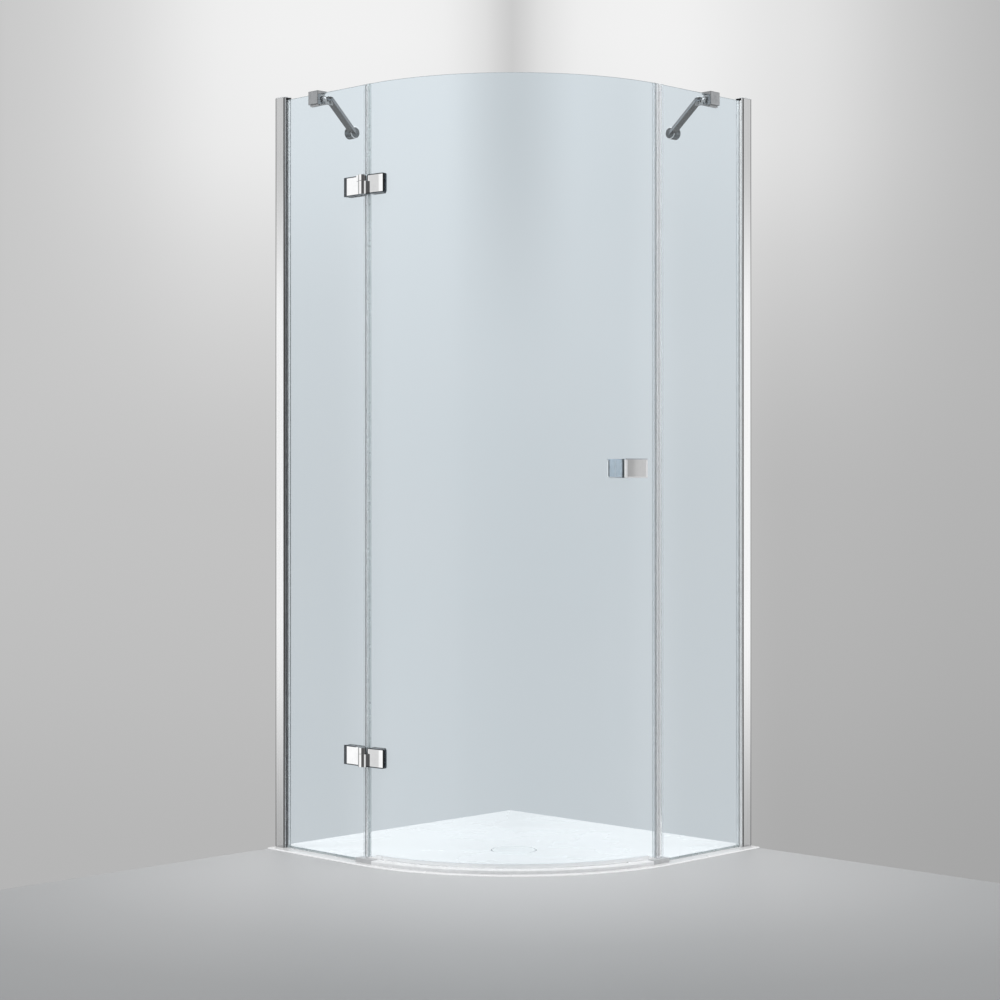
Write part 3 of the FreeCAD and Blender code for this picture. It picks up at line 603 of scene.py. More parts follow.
# Each chrome: bright tone, dull tone, roughness, how much the marks add, their scale.
fitting_chrome = polished("fitting_chrome", (0.93, 0.935, 0.94, 1), (0.88, 0.885, 0.89, 1),
                          0.03, 0.03, 60.0)
# A dark chrome: painted reflection on the hinge edges and painted shade on the knobs' foot.
rim_chrome = polished("rim_chrome", (0.10, 0.11, 0.12, 1), (0.07, 0.08, 0.09, 1),
                      0.22, 0.08, 60.0)
# The stays' chromes are darker copies of the bright chrome as painted shade; Below and Above set
# their painted reflection bands.
stay_chrome = polished("stay_chrome", (0.36, 0.37, 0.38, 1), (0.29, 0.30, 0.31, 1),
                       0.14, 0.08, 45.0, Below=0.15, Above=1.9)
bar_chrome = polished("bar_chrome", (0.25, 0.275, 0.305, 1), (0.20, 0.22, 0.245, 1),
                      0.12, 0.06, 45.0, Below=0.04, Above=2.2)
bracket_chrome = polished("bracket_chrome", (0.09, 0.1, 0.108, 1),
                          (0.065, 0.073, 0.08, 1), 0.12, 0.06, 45.0, Below=0.2, Above=4.5)
knob_chrome = polished("knob_chrome", (0.92, 0.925, 0.93, 1), (0.87, 0.875, 0.88, 1),
                       0.05, 0.04, 60.0)
# A paler chrome for the knobs' web and top: painted light.
web_chrome = polished("web_chrome", (0.84, 0.87, 0.92, 1), (0.75, 0.78, 0.83, 1),
                      0.18, 0.06, 60.0)
fastener_steel = polished("fastener_steel", (0.60, 0.60, 0.60, 1), (0.48, 0.48, 0.49, 1),
                          0.22, 0.15, 200.0)
# Foot and Head scale a profile's colour at the bottom and top as painted reflection; past Line,
# towards the wall, Depth darkens it as painted shade.
channel_aluminium = drawn("channel_aluminium", (0.95, 0.955, 0.96, 1), (0.90, 0.905, 0.91, 1),
                          0.12, 0.08, Foot=0.48, Head=0.62, Line=0.4462, Depth=0.72)
glazing_aluminium = drawn("glazing_aluminium", (0.80, 0.81, 0.82, 1), (0.72, 0.73, 0.74, 1),
                          0.16, 0.10, Foot=1.1, Head=1.1, Line=0.4145, Depth=0.75)
# A dark copy of the glazing finish for the left glazing channel: painted shade.
shaded_aluminium = drawn("shaded_aluminium", (0.20, 0.205, 0.21, 1), (0.16, 0.165, 0.17, 1),
                         0.16, 0.10, Foot=2.4, Head=2.6, Line=0.4145, Depth=0.4)

# %% [markdown]
# ## Plastic, rubber and acrylic
#
# The tray is cast acrylic: clean white under a gloss skin, with a faint unevenness
# that only shows in reflections, and a band of painted shade on its flange outside the
# glass. Rubber sits where glass meets metal, and a dark copy of it on the outer leg of
# the left glazing gasket is painted shade. The anodised threshold and the caps are
# made the same way, because a satin surface with a colour of its own comes nearest to
# them. The bright rims of knobs and stays are a painted highlight in such a pale satin
# finish: it stays bright from every side, where a mirror would turn dark.

# %% Cast, moulded and satin finishes
def mottled(name, light, dark, rough, spread, scale):
    """A finish between two tones, mottled, whose roughness grows by spread."""
    finish, tree, shader = new_finish(name)
    group = place_group(tree, soft_mottle, Scale=scale, Light=light, Dark=dark)
    feed(tree, group["Color"], shader.inputs["Base Color"])
    feed(tree, stretch(tree, group["Mask"], 0.0, 1.0, rough, rough + spread),
         shader.inputs["Roughness"])
    return finish, tree, shader, group


def moulded(name, light, dark, rough, scale, depth, coat=0.0, flange=0.0):
    """Cast or moulded surface; flange is how dark the painted shade makes the tray outside the
    glass.
    """
    finish, tree, shader, group = mottled(name, light, dark, rough, 0.08, scale)
    shader.inputs["Coat Weight"].default_value = coat
    shader.inputs["Coat Roughness"].default_value = 0.08
    relief(tree, group["Height"], shader, depth)
    if flange:
        dimmed(tree, shader, flange_shade, Depth=flange)
    return finish


# Each one: light tone, dark tone, roughness, scale of the mottle, depth of the relief.
tray_white = moulded("tray_white", (0.96, 0.96, 0.965, 1), (0.953, 0.953, 0.96, 1),
                     0.22, 5.0, 0.000005, coat=0.3, flange=0.2)
cover_white = moulded("cover_white", (0.95, 0.965, 0.97, 1), (0.93, 0.945, 0.95, 1),
                      0.18, 25.0, 0.000005, coat=0.3)
grey_rubber = moulded("grey_rubber", (0.50, 0.51, 0.52, 1), (0.42, 0.43, 0.44, 1),
                      0.55, 60.0, 0.00004)
# A dark copy of the gasket rubber: painted shade.
shade_rubber = moulded("shade_rubber", (0.10, 0.105, 0.11, 1), (0.07, 0.075, 0.08, 1),
                       0.5, 60.0, 0.00002)
pale_rubber = moulded("pale_rubber", (0.74, 0.76, 0.77, 1), (0.66, 0.68, 0.69, 1),
                      0.5, 60.0, 0.00002)
anodised_rail = moulded("anodised_rail", (0.82, 0.83, 0.84, 1), (0.77, 0.78, 0.79, 1),
                        0.32, 60.0, 0.00001, coat=0.3)
anodised_end = moulded("anodised_end", (0.54, 0.55, 0.56, 1), (0.48, 0.49, 0.50, 1),
                       0.32, 60.0, 0.00001, coat=0.3)
cap_grey = moulded("cap_grey", (0.66, 0.67, 0.68, 1), (0.60, 0.61, 0.62, 1),
                   0.25, 60.0, 0.00001, coat=0.3)
# A pale satin that stands in for chrome's highlights: painted highlight on rims and pins.
bright_rim = moulded("bright_rim", (0.93, 0.94, 0.95, 1), (0.89, 0.90, 0.91, 1),
                     0.12, 60.0, 0.00001, coat=0.6)
magnet_grey = moulded("magnet_grey", (0.80, 0.81, 0.82, 1), (0.74, 0.75, 0.76, 1),
                      0.5, 80.0, 0.00003)
bush_plastic = moulded("bush_plastic", (0.80, 0.80, 0.78, 1), (0.72, 0.72, 0.70, 1),
                       0.35, 90.0, 0.00002)

# %% [markdown]
# ## Glass and clear seals
#
# Toughened glass in front of a bright wall is not invisible: it lays a pale blue veil
# over what lies behind. A small part of plain diffuse under the transmission gives
# part of that veil; the rest is painted reflection, a paler and bluer copy of the
# walls that only rays through the glass see. Light that only passes through on its
# way to the tray should not be blocked, so shadow rays meet a transparent surface;
# Light Path tells them apart.
# Clear glass has a lower index of refraction than real glass, which keeps the panes
# from mirroring more than they should here. Cut edges look dark on one pane and pale
# on another by the way the light falls, so there are two finishes for them.

# %% Clear finishes
def clear(name, light, dark, rough, transmission, scale, ior=1.5):
    """Glass or clear vinyl, which lets shadow rays and diffuse rays pass."""
    finish, tree, shader, _ = mottled(name, light, dark, rough, rough * 0.5, scale)
    shader.inputs["Transmission Weight"].default_value = transmission
    shader.inputs["IOR"].default_value = ior
    path = add_node(tree, "LightPath").outputs
    passing = maths(tree, "MAXIMUM", path["Is Shadow Ray"], path["Is Diffuse Ray"])
    surface = mixed_shader(tree, passing, shader.outputs[0],
                           add_node(tree, "BsdfTransparent").outputs[0])
    feed(tree, surface, tree.nodes["Material Output"].inputs["Surface"])
    return finish


# Each one: light tone, dark tone, roughness, transmission, scale of the mottle.
clear_glass = clear("clear_glass", (0.915, 0.972, 1.0, 1), (0.905, 0.967, 0.997, 1),
                    0.0, 0.97, 3.0, 1.22)
glass_edge = clear("glass_edge", (0.36, 0.44, 0.45, 1), (0.30, 0.38, 0.39, 1),
                   0.25, 0.55, 40.0)
# upright_edge and pale_edge are a dark and a pale copy of the edge: painted shade and painted
# light.
upright_edge = clear("upright_edge", (0.05, 0.065, 0.07, 1), (0.035, 0.05, 0.055, 1),
                     0.25, 0.20, 40.0)
pale_edge = clear("pale_edge", (0.56, 0.64, 0.65, 1), (0.50, 0.58, 0.59, 1),
                  0.25, 0.60, 40.0)
clear_seal = clear("clear_seal", (0.93, 0.95, 0.965, 1), (0.91, 0.935, 0.95, 1),
                   0.03, 0.92, 6.0)
sill_vinyl = clear("sill_vinyl", (0.52, 0.57, 0.58, 1), (0.46, 0.51, 0.52, 1),
                   0.20, 0.60, 20.0)
drip_vinyl = clear("drip_vinyl", (0.97, 0.98, 0.99, 1), (0.95, 0.965, 0.975, 1),
                   0.25, 0.45, 6.0)
print("finishes:", len(bpy.data.materials))

# %% [markdown]
# ## Handing a piece over
#
# A finished piece gets the moving body it belongs to and the finish it wears, and
# the solids that it stands for are hidden. One function keeps that together.

# %% Dressing helper
tally = []


def dress(piece, body, slot, finish, *stands_for):
    """Gives the piece its finish and its body, and hides the solids that it stands for."""
    alone(piece)
    if not piece.data.materials:
        piece.data.materials.append(finish)
    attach(piece, body)
    if stands_for:
        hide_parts(*stands_for)
    tally.append(piece.name)
    print(piece.name, len(piece.data.polygons), "faces")
    return piece


# %% [markdown]
# ## The shower tray
#
# The tray is a low quadrant slab, rounded at the front, with a shallow fall to the
# waste. It starts as a square sheet whose front corner is rounded off, pulled down
# into a slab. A separate disc has its rim pulled inwards and down step by step, and
# cutting it out of the slab leaves the flat rim round a smooth dish, which separate
# slabs would not.

# %% Tray
TRAY_ROUND = 0.550
DISH_RADIUS = 0.340
DISH_DEPTH = 0.007
SEAT_RADIUS = 0.060
SEAT_DEPTH = 0.006
WASTE_RADIUS = 0.045
DISH_STEPS = 16
LIP_ROUND = 0.003


def quadrant_outline(height, segments):
    """A square sheet at a height with its front corner rounded; open in edit mode."""
    bpy.ops.object.select_all(action="DESELECT")
    bpy.ops.mesh.primitive_plane_add(size=SIDE, location=(0, 0, height))
    sheet = settle(bpy.context.object)
    edit(sheet)
    pick("verts", lambda part, at: at.x > 0.1 and at.y < -0.1)
    bpy.ops.mesh.bevel(offset=TRAY_ROUND, segments=segments, affect="VERTICES",
                       profile=0.5, clamp_overlap=False)
    return sheet


def pull_ring(radius, height, new_radius, new_height):
    """Extrudes the ring at a radius and height to a new radius and height."""
    pick("edges", lambda part, at: abs(at.z - height) < 0.00005 and all(
        abs(math.hypot(*end.co[:2]) - radius) < 0.0002 for end in part.verts))
    bpy.ops.mesh.extrude_edges_move()
    size = new_radius / radius
    bpy.ops.transform.resize(value=(size, size, 1), center_override=(0, 0, height))
    bpy.ops.transform.translate(value=(0, 0, new_height - height))


bpy.ops.object.select_all(action="DESELECT")
radius, height = DISH_RADIUS + 0.001, TRAY_TOP + 0.004
bpy.ops.mesh.primitive_circle_add(vertices=192, radius=radius, fill_type="NGON",
                                  location=(0, 0, height))
dish = settle(bpy.context.object, "dish")
edit(dish)
rings = []
for step in range(DISH_STEPS + 1):
    part = step / DISH_STEPS
    eased = part - 0.05 * math.sin(2 * math.pi * part)
    rings.append((DISH_RADIUS + (SEAT_RADIUS - DISH_RADIUS) * part,
                  TRAY_TOP - DISH_DEPTH * eased - 0.00001))
seat = rings[-1][1]
rings += [(SEAT_RADIUS - 0.0004, seat - 0.0006), (SEAT_RADIUS - 0.0005, seat - SEAT_DEPTH),
          (WASTE_RADIUS + 0.001, seat - SEAT_DEPTH), (WASTE_RADIUS, seat - SEAT_DEPTH - 0.001),
          (WASTE_RADIUS, -0.010)]
for new_radius, new_height in rings:
    pull_ring(radius, height, new_radius, new_height)
    radius, height = new_radius, new_height
bpy.ops.mesh.edge_face_add()
leave_edit()

tray = quadrant_outline(TRAY_TOP, 96)
tray.name = "tray"
bpy.ops.mesh.select_all(action="SELECT")
bpy.ops.mesh.extrude_region_move(TRANSFORM_OT_translate={"value": (0, 0, -TRAY_TOP)})
leave_edit()
outwards(tray)
edit(tray)
pick("edges", lambda part, at: abs(at.z - TRAY_TOP) < 0.00001
     and not (abs(at.x + SIDE / 2) < 0.001 or abs(at.y - SIDE / 2) < 0.001))
bpy.ops.mesh.bevel(offset=LIP_ROUND, segments=5, affect="EDGES")
leave_edit()
shape_with(tray, dish, "DIFFERENCE")
outwards(tray)
crisp(tray, 30)
dress(tray, "enclosure", "tray_white", tray_white, "shower_tray")

# %% [markdown]
# ## Glass
#
# The two fixed panes are flat, and the door is bent to a quarter circle of 511 mm.
# A bent pane is modelled like it is made: the cross-section follows the bend. The
# ground edges get a finish of their own, because looking along a pane the glass is
# green and a little frosted; on the upright edges and the door's lower edge a dark
# and a pale copy of it are painted shade and painted light.

# %% Panes
PANE_START, LEFT_PANE_END, RIGHT_PANE_END = 0.018, 0.340, 0.351
DOOR_FIRST, DOOR_LAST = -0.004, BEND_LENGTH - 0.020
PANE_FOOT, DOOR_FOOT = 0.003, 0.015
GROUND_EDGE = 0.0006


def glass_with_painted_edges(pane):
    """Gives the narrow ground edges finishes of their own, by pane and direction: the green edge,
    and a dark and a pale copy of it as painted shade and painted light.
    """
    door, left, right = (word in pane.name for word in ("door", "left", "right"))

    def choice(face):
        x, y = face.center.x - BEND_X, face.center.y - BEND_Y
        if door and x > 0 > y:
            facing = abs(x * face.normal.x + y * face.normal.y) / math.hypot(x, y)
        else:
            facing = abs(face.normal.y if left else face.normal.x)
        if facing > 0.9:
            return 0
        if abs(face.normal.z) < 0.5:
            return 3 if right or (door and face.center.x < 0.1) else 2
        return 3 if door and face.normal.z < 0 else 1

    return wear(pane, (clear_glass, glass_edge, upright_edge, pale_edge), choice)


def flat_pane(name, end):
    """A fixed pane, from inside its channel to its free edge."""
    pane = block(name, beside_wall(HALF_GLASS, PANE_START, PANE_FOOT),
                 beside_wall(-HALF_GLASS, end, GLASS_TOP))
    return soften(pane, GROUND_EDGE)


left_pane = flat_pane("left_pane", LEFT_PANE_END)
right_start = flat_pane("right_pane_start", RIGHT_PANE_END)
right_pane = mirrored(right_start, "right_pane")
bpy.data.objects.remove(right_start, do_unlink=True)
door_pane = section("door_pane", -HALF_GLASS, HALF_GLASS, DOOR_FOOT, GLASS_TOP, DOOR_FIRST)
edit(door_pane)
sweep(door_pane, DOOR_LAST - DOOR_FIRST, 120)
soften(door_pane, GROUND_EDGE)

for pane, body, node in ((left_pane, "enclosure", "side_glass_left"),
                         (right_pane, "enclosure", "side_glass_right"),
                         (door_pane, "door", "door_glass")):
    dress(glass_with_painted_edges(pane), body, "clear_glass", clear_glass, node)

# %% [markdown]
# ## Wall channels
#
# Each fixed pane is held by two aluminium channels, one sliding in the other, which
# takes up a wall that is out of true. The outer one is a plain U: a block with a
# groove milled along its front. The inner one is the same, 4 mm slimmer and set
# forwards. Both are made for the left and mirrored.

# %% Channels
CHANNEL_TOP = 1.938


def u_profile(name, half, wall, start, stop, low):
    """A U-section standing beside the wall, open away from the wall."""
    profile = block(name, beside_wall(half, start, low), beside_wall(-half, stop, CHANNEL_TOP))
    groove = block("groove", beside_wall(half - wall, start + wall, low - 0.01),
                   beside_wall(wall - half, stop + 0.01, CHANNEL_TOP + 0.01))
    return shape_with(profile, groove, "DIFFERENCE")


wall_channel = soften(u_profile("left_wall_profile", half=0.012, wall=0.0018,
                                start=0.0, stop=0.032, low=0.0), 0.0005, 3)
glazing = soften(u_profile("left_glazing_profile", half=0.010, wall=0.0016,
                           start=0.012, stop=0.038, low=0.0005), 0.0004, 3)
right_wall = mirrored(wall_channel, "right_wall_profile")
right_glazing = mirrored(glazing, "right_glazing_profile")
# The left glazing channel gets the dark copy as painted shade.
for piece, finish, node in ((wall_channel, channel_aluminium, "wall_channel_left"),
                            (right_wall, channel_aluminium, "wall_channel_right"),
                            (glazing, shaded_aluminium, "glazing_channel_left"),
                            (right_glazing, glazing_aluminium, "glazing_channel_right")):
    dress(piece, "enclosure", "channel_aluminium", finish, node)

# %% [markdown]
# ## Hinges
#
# Each hinge clamps the glass between an outer leaf and an inner plate. The outer
# leaves are 10 mm bar with soft corners and one rolled end; the frame leaf carries a
# knuckle at the top and the door leaf a longer barrel below it, both on one upright
# pin outside the glass. The corners are cut by intersecting the bar with a
# round-cornered block, exactly as a press tool would. The door's leaf and plate
# follow the bend. The edges, and the frame leaf's rolled end, wear a darker chrome as
# painted reflection of the dark side of the room; the flat faces are sliced where it
# begins. One hinge is modelled and then copied down.

# %% Hinge
HINGE_U = 0.343
HINGE_V = 0.017
UPPER_HINGE = 1.681
HINGE_DROP = 1.419
LEAF = 0.048
LEAF_OUT = 0.004
LEAF_FACE = 0.014
PLATE_BACK = -0.012
BARREL = 0.011
KNUCKLE = 0.015
FRAME_START, FRAME_STOP = 0.266, 0.331
DOOR_START, DOOR_STOP, PLATE_STOP = 0.005, 0.063, 0.050
LEAF_ROLL, PLATE_ROLL = 0.007, 0.004
CORNER, LEAF_EDGE, BARREL_EDGE = 0.005, 0.0024, 0.0012
# RIM is the width of the painted dark reflection along a leaf's edges, and DARK_END its length at
# the frame leaf's rolled end.
RIM, DARK_END = 0.0026, 0.015
PIN_X, PIN_Y = HINGE_U - SIDE / 2, -GLASS_LINE - HINGE_V
HINGE_LOW, HINGE_HIGH = UPPER_HINGE - LEAF / 2, UPPER_HINGE + LEAF / 2


def corner_block(wide):
    """A block whose four corners seen from the front are round, facing along x."""
    shape = block("corners", (-0.03, -wide / 2, -LEAF / 2), (0.03, wide / 2, LEAF / 2))
    edit(shape)
    pick("edges", lambda part, at: along(part, 0))
    bpy.ops.mesh.bevel(offset=CORNER, segments=7, affect="EDGES")
    leave_edit()
    return shape


def painted_dark_rim(piece, out=None, end=None):
    """Bright chrome on the faces that look along out and are past end; elsewhere a dark chrome as
    painted reflection.

    Without out the piece is round, and all but its top and underside is bright.
    """
    middle, inner = TRAY_TOP + UPPER_HINGE, LEAF / 2 - RIM
    if out is not None:
        cuts = [((0, 0, middle + inner), (0, 0, 1)), ((0, 0, middle - inner), (0, 0, 1))]
        sliced(piece, cuts + ([((end, 0, 0), (1, 0, 0))] if end is not None else []))

    def choice(face):
        bright = abs(face.normal.z) < 0.25
        if out is not None:
            bright = bright and abs(face.normal.x * out[0] + face.normal.y * out[1]) > 0.93
            bright = bright and abs(face.center.z - middle) < inner
            bright = bright and (end is None or face.center.x > end)
        return 0 if bright else 1

    return crisp(wear(piece, (fitting_chrome, rim_chrome), choice))


def pressed(plate, spot, roll, wide, lean, middle):
    """Rolls the plate's upright edge at a spot and rounds its corners and edges."""
    edit(plate)
    pick("edges", lambda part, at: along(part, 2) and math.dist(at[:2], spot[:2]) < 0.0003)
    bpy.ops.mesh.bevel(offset=roll, segments=8, affect="EDGES")
    leave_edit()
    mask = corner_block(wide)
    mask.rotation_euler = (0, 0, lean)
    mask.location = middle
    settle(mask)
    return soften(shape_with(plate, mask, "INTERSECT"), LEAF_EDGE, 3)


def frame_side(name, back, face, roll):
    """Straight hinge plate on the fixed pane; face is its visible side."""
    plate = block(name, beside_wall(back, FRAME_START, HINGE_LOW),
                  beside_wall(face, FRAME_STOP, HINGE_HIGH))
    plate = pressed(plate, beside_wall(face, FRAME_START, 0), roll, FRAME_STOP - FRAME_START,
                    -math.pi / 2, beside_wall(0, (FRAME_START + FRAME_STOP) / 2, UPPER_HINGE))
    return painted_dark_rim(plate, (0, 1), FRAME_START + DARK_END - SIDE / 2)


def door_side(name, back, face, stop, roll):
    """Bent hinge plate on the door; face is its visible side."""
    plate = section(name, min(back, face), max(back, face), HINGE_LOW, HINGE_HIGH, DOOR_START)
    edit(plate)
    sweep(plate, stop - DOOR_START, 10)
    middle = (DOOR_START + stop) / 2
    lean = turn_at(middle)
    plate = pressed(plate, on_bend(face, stop, 0), roll, stop - DOOR_START, lean,
                    on_bend(0, middle, UPPER_HINGE))
    return painted_dark_rim(plate, (math.cos(lean), math.sin(lean)))


def hinge_rod(name, low, high):
    """Round part of the hinge about the pin, between two heights."""
    return rod(name, BARREL, high - low, (PIN_X, PIN_Y, TRAY_TOP + (low + high) / 2))


KNUCKLE_LOW = HINGE_HIGH - KNUCKLE
BARREL_TOP = KNUCKLE_LOW - 0.001
ARM_START = HINGE_U - SIDE / 2 - BEND_X

frame_leaf = frame_side("frame_leaf", LEAF_OUT, LEAF_FACE, LEAF_ROLL)
knuckle = hinge_rod("knuckle", KNUCKLE_LOW, HINGE_HIGH)
neck = block("neck", beside_wall(LEAF_OUT + 0.002, FRAME_STOP - 0.006, KNUCKLE_LOW),
             beside_wall(HINGE_V + 0.005, HINGE_U, HINGE_HIGH))
knuckle = painted_dark_rim(soften(shape_with(knuckle, neck, "UNION"), BARREL_EDGE, 3))
frame_leaf = joined("hinge_frame_leaf", [frame_leaf, knuckle])

door_leaf = door_side("door_leaf", LEAF_OUT, LEAF_FACE, DOOR_STOP, LEAF_ROLL)
barrel = hinge_rod("barrel", HINGE_LOW, BARREL_TOP)
arm = section("arm", LEAF_OUT + 0.002, HINGE_V + 0.004, HINGE_LOW, BARREL_TOP, ARM_START)
edit(arm)
sweep(arm, DOOR_START + 0.004 - ARM_START, 4)
leave_edit()
barrel = painted_dark_rim(soften(shape_with(barrel, arm, "UNION"), BARREL_EDGE, 3))
door_leaf = joined("hinge_door_leaf", [door_leaf, barrel])

frame_plate = frame_side("hinge_frame_plate", -LEAF_OUT, PLATE_BACK, PLATE_ROLL)
door_plate = door_side("hinge_door_plate", -LEAF_OUT, PLATE_BACK, PLATE_STOP, PLATE_ROLL)

for piece, body, part in ((frame_leaf, "enclosure", "frame_leaf"),
                          (frame_plate, "enclosure", "frame_plate"),
                          (door_leaf, "door", "door_leaf"),
                          (door_plate, "door", "door_plate")):
    lower = copied(piece, "lower_" + part)
    lower.location.z = -HINGE_DROP
    settle(lower)
    piece.name = "upper_" + part
    dress(piece, body, "fitting_chrome", fitting_chrome, "hinge_upper_" + part)
    dress(lower, body, "fitting_chrome", fitting_chrome, "hinge_lower_" + part)

# %% [markdown]
# ## Door knobs
#
# A knob of T-section sits on each side of the glass: a plate bent like the door, on
# a web that is as tall as the plate. Both are spun and blocked out, joined and given
# finely rounded edges. The eye reads the plate's thin bright rim first, so the faces
# are sliced along it and the rim gets a pale finish of its own as a painted highlight.
# The web and the top get a paler chrome as painted light, and the foot at the glass a
# dark chrome as painted shade.

# %% Knobs
KNOB_S = BEND_LENGTH - 0.115
KNOB_H = 0.977
KNOB_TALL, KNOB_WIDE, KNOB_REACH = 0.047, 0.062, 0.0435
KNOB_PLATE, WEB_HALF = 0.006, 0.008
KNOB_EDGE, KNOB_RIM = 0.0022, 0.0028
KNOB_FOOT = 0.0078


def knob(name, side):
    """side is 1 for the outside knob and -1 for the inside one."""
    v0, v1 = sorted((side * (KNOB_REACH - KNOB_PLATE), side * KNOB_REACH))
    low, high = KNOB_H - KNOB_TALL / 2, KNOB_H + KNOB_TALL / 2
    plate = section(name, v0, v1, low, high, KNOB_S - KNOB_WIDE / 2)
    edit(plate)
    sweep(plate, KNOB_WIDE, 12)
    leave_edit()
    near, far = sorted((side * 0.0041, side * (KNOB_REACH - KNOB_PLATE + 0.001)))
    web = block("web", (near, -WEB_HALF, -KNOB_TALL / 2), (far, WEB_HALF, KNOB_TALL / 2))
    lean = turn_at(KNOB_S)
    web.rotation_euler = (0, 0, lean)
    web.location = on_bend(0, KNOB_S, KNOB_H)
    settle(web)
    piece = soften(shape_with(plate, web, "UNION"), KNOB_EDGE, 3)

    outward = (math.cos(lean), math.sin(lean), 0)
    sideways = (-math.sin(lean), math.cos(lean), 0)
    middle, inner, brink = TRAY_TOP + KNOB_H, KNOB_TALL / 2 - KNOB_RIM, KNOB_WIDE / 2 - KNOB_RIM
    sliced(piece, [((0, 0, middle + part), (0, 0, 1)) for part in (-inner, inner)]
           + [(on_bend(0, KNOB_S + part, 0), sideways) for part in (-brink, brink)]
           + [(on_bend(side * KNOB_FOOT, KNOB_S, 0), outward)])

    # Painted highlight on the plate's rim, painted light on the web and the top, painted shade on
    # the foot at the glass.
    def choice(face):
        x, y = face.center.x - BEND_X, face.center.y - BEND_Y
        from_glass = abs(math.hypot(x, y) - BEND)
        across = abs(x * sideways[0] + y * sideways[1])
        facing = abs(face.normal.x * outward[0] + face.normal.y * outward[1])
        if from_glass < KNOB_REACH - KNOB_PLATE - 0.0005:
            return 2 if from_glass < KNOB_FOOT else 3
        if face.center.z > middle + inner:
            return 3
        return 1 if facing < 0.93 or face.center.z < middle - inner or across > brink else 0

    return crisp(wear(piece, (knob_chrome, bright_rim, rim_chrome, web_chrome), choice))


dress(knob("outer_knob", 1), "door", "fitting_chrome", knob_chrome, "handle_outer")
dress(knob("inner_knob", -1), "door", "fitting_chrome", knob_chrome, "handle_inner")

# %% [markdown]
# ## Threshold
#
# A low bar follows the bend under the door and keeps the water in, with an end block
# below each gap. The outer top corner of its section is rounded before the spin, so
# the rounding runs true along the whole bend. The blocks go straight on from the end
# of the bend, so their section is first pulled and then spun.

# %% Threshold rail and end blocks
RAIL_LEFT, RAIL_RIGHT = 0.026, BEND_LENGTH - 0.044


def rounded_section(name, v0, v1, tall, s, out_round, in_round):
    """Upright section with its two top corners rounded; open in edit mode."""
    piece = section(name, v0, v1, 0.0, tall, s)
    edit(piece)
    for v, size in ((v1, out_round), (v0, in_round)):
        spot = on_bend(v, s, tall)
        pick("verts", lambda part, at: math.dist(at, spot) < 0.0001)
        bpy.ops.mesh.bevel(offset=size, segments=5, affect="VERTICES", profile=0.5)
    bpy.ops.mesh.select_all(action="SELECT")
    return piece


rail = rounded_section("rail", -0.005, 0.020, 0.009, RAIL_LEFT, 0.003, 0.001)
sweep(rail, RAIL_RIGHT - RAIL_LEFT, 110)
soften(rail, 0.0003, 2)
dress(rail, "enclosure", "rail_aluminium", anodised_rail, "threshold_rail")


def end_block(name, straight_at, bend_s, bend_length, pull):
    """A rail end: a section pulled straight from the end of the bend and spun along it."""
    piece = rounded_section(name, -0.008, 0.018, 0.011, straight_at, 0.0012, 0.0012)
    bpy.ops.mesh.extrude_region_move(TRANSFORM_OT_translate={"value": pull})
    leave_edit()
    curved = rounded_section("curved", -0.008, 0.018, 0.011, bend_s, 0.0012, 0.0012)
    sweep(curved, bend_length, 8)
    leave_edit()
    return soften(shape_with(piece, curved, "UNION"), 0.0005, 2)


left_end = end_block("left_rail_end", 0.0, -0.0002, RAIL_LEFT + 0.0002, (-0.031, 0, 0))
right_end = end_block("right_rail_end", BEND_LENGTH, RAIL_RIGHT,
                      BEND_LENGTH - RAIL_RIGHT + 0.0002, (0, 0.013, 0))
dress(left_end, "enclosure", "rail_aluminium", anodised_end, "rail_end_left")
dress(right_end, "enclosure", "rail_aluminium", anodised_end, "rail_end_right")

# %% [markdown]
# ## Stays
#
# A stay braces the free edge of each fixed pane against the wall: a clamp block over
# the top of the glass, a flat bar, and a round bracket at the wall. The bar starts
# as a rod whose half is slid along, which gives the round ends at once. The bracket's
# rounded front edge wears the pale finish as a painted highlight, and the darker
# chromes of the stays are painted shade. All are made on the left and mirrored.

# %% Stays
STAY_NEAR = beside_wall(-0.031, 0.166, 1.921)
STAY_FAR = (-0.432, -0.168, 1.908)
BAR_HALF, BAR_THICK = 0.010, 0.010
DRUM_RADIUS, DRUM_LENGTH = 0.016, 0.026
CLAMP = (0.009, 0.1265, 1.906), (-0.0225, 0.1635, 1.940)
NOTCH = (-0.0046, 0.1575, 1.9125), (-0.030, 0.170, 1.9335)

clamp = block("left_clamp", *(beside_wall(*corner) for corner in CLAMP))
notch = block("notch", *(beside_wall(*corner) for corner in NOTCH))
clamp = soften(shape_with(clamp, notch, "DIFFERENCE"), 0.0012, 3)

run = [b - a for a, b in zip(STAY_NEAR, STAY_FAR)]
reach = math.hypot(*run)
bar = rod("left_bar", BAR_HALF, BAR_THICK, (0, 0, 0), around=40)
edit(bar)
pick("verts", lambda part, at: at.x > 0.0001)
bpy.ops.transform.translate(value=(reach, 0, 0))
leave_edit()
bar.rotation_euler = (0, -math.asin(run[2] / reach), math.atan2(run[1], run[0]))
bar.location = STAY_NEAR
settle(bar)
soften(bar, 0.0020, 3, 50)
print("stay bar:", round(reach * 1000, 1), "mm between its ends' middles")

drum = rod("left_drum", DRUM_RADIUS, DRUM_LENGTH,
           (-SIDE / 2 + DRUM_LENGTH / 2, STAY_FAR[1], STAY_FAR[2]), (0, math.pi / 2, 0), 64)
edit(drum)
pick("edges", lambda part, at: at.x > -SIDE / 2 + DRUM_LENGTH - 0.001
     and abs(part.verts[0].co.x - part.verts[1].co.x) < 0.0001)
bpy.ops.mesh.bevel(offset=0.0025, segments=5, affect="EDGES")
leave_edit()
soften(drum, 0.0004)
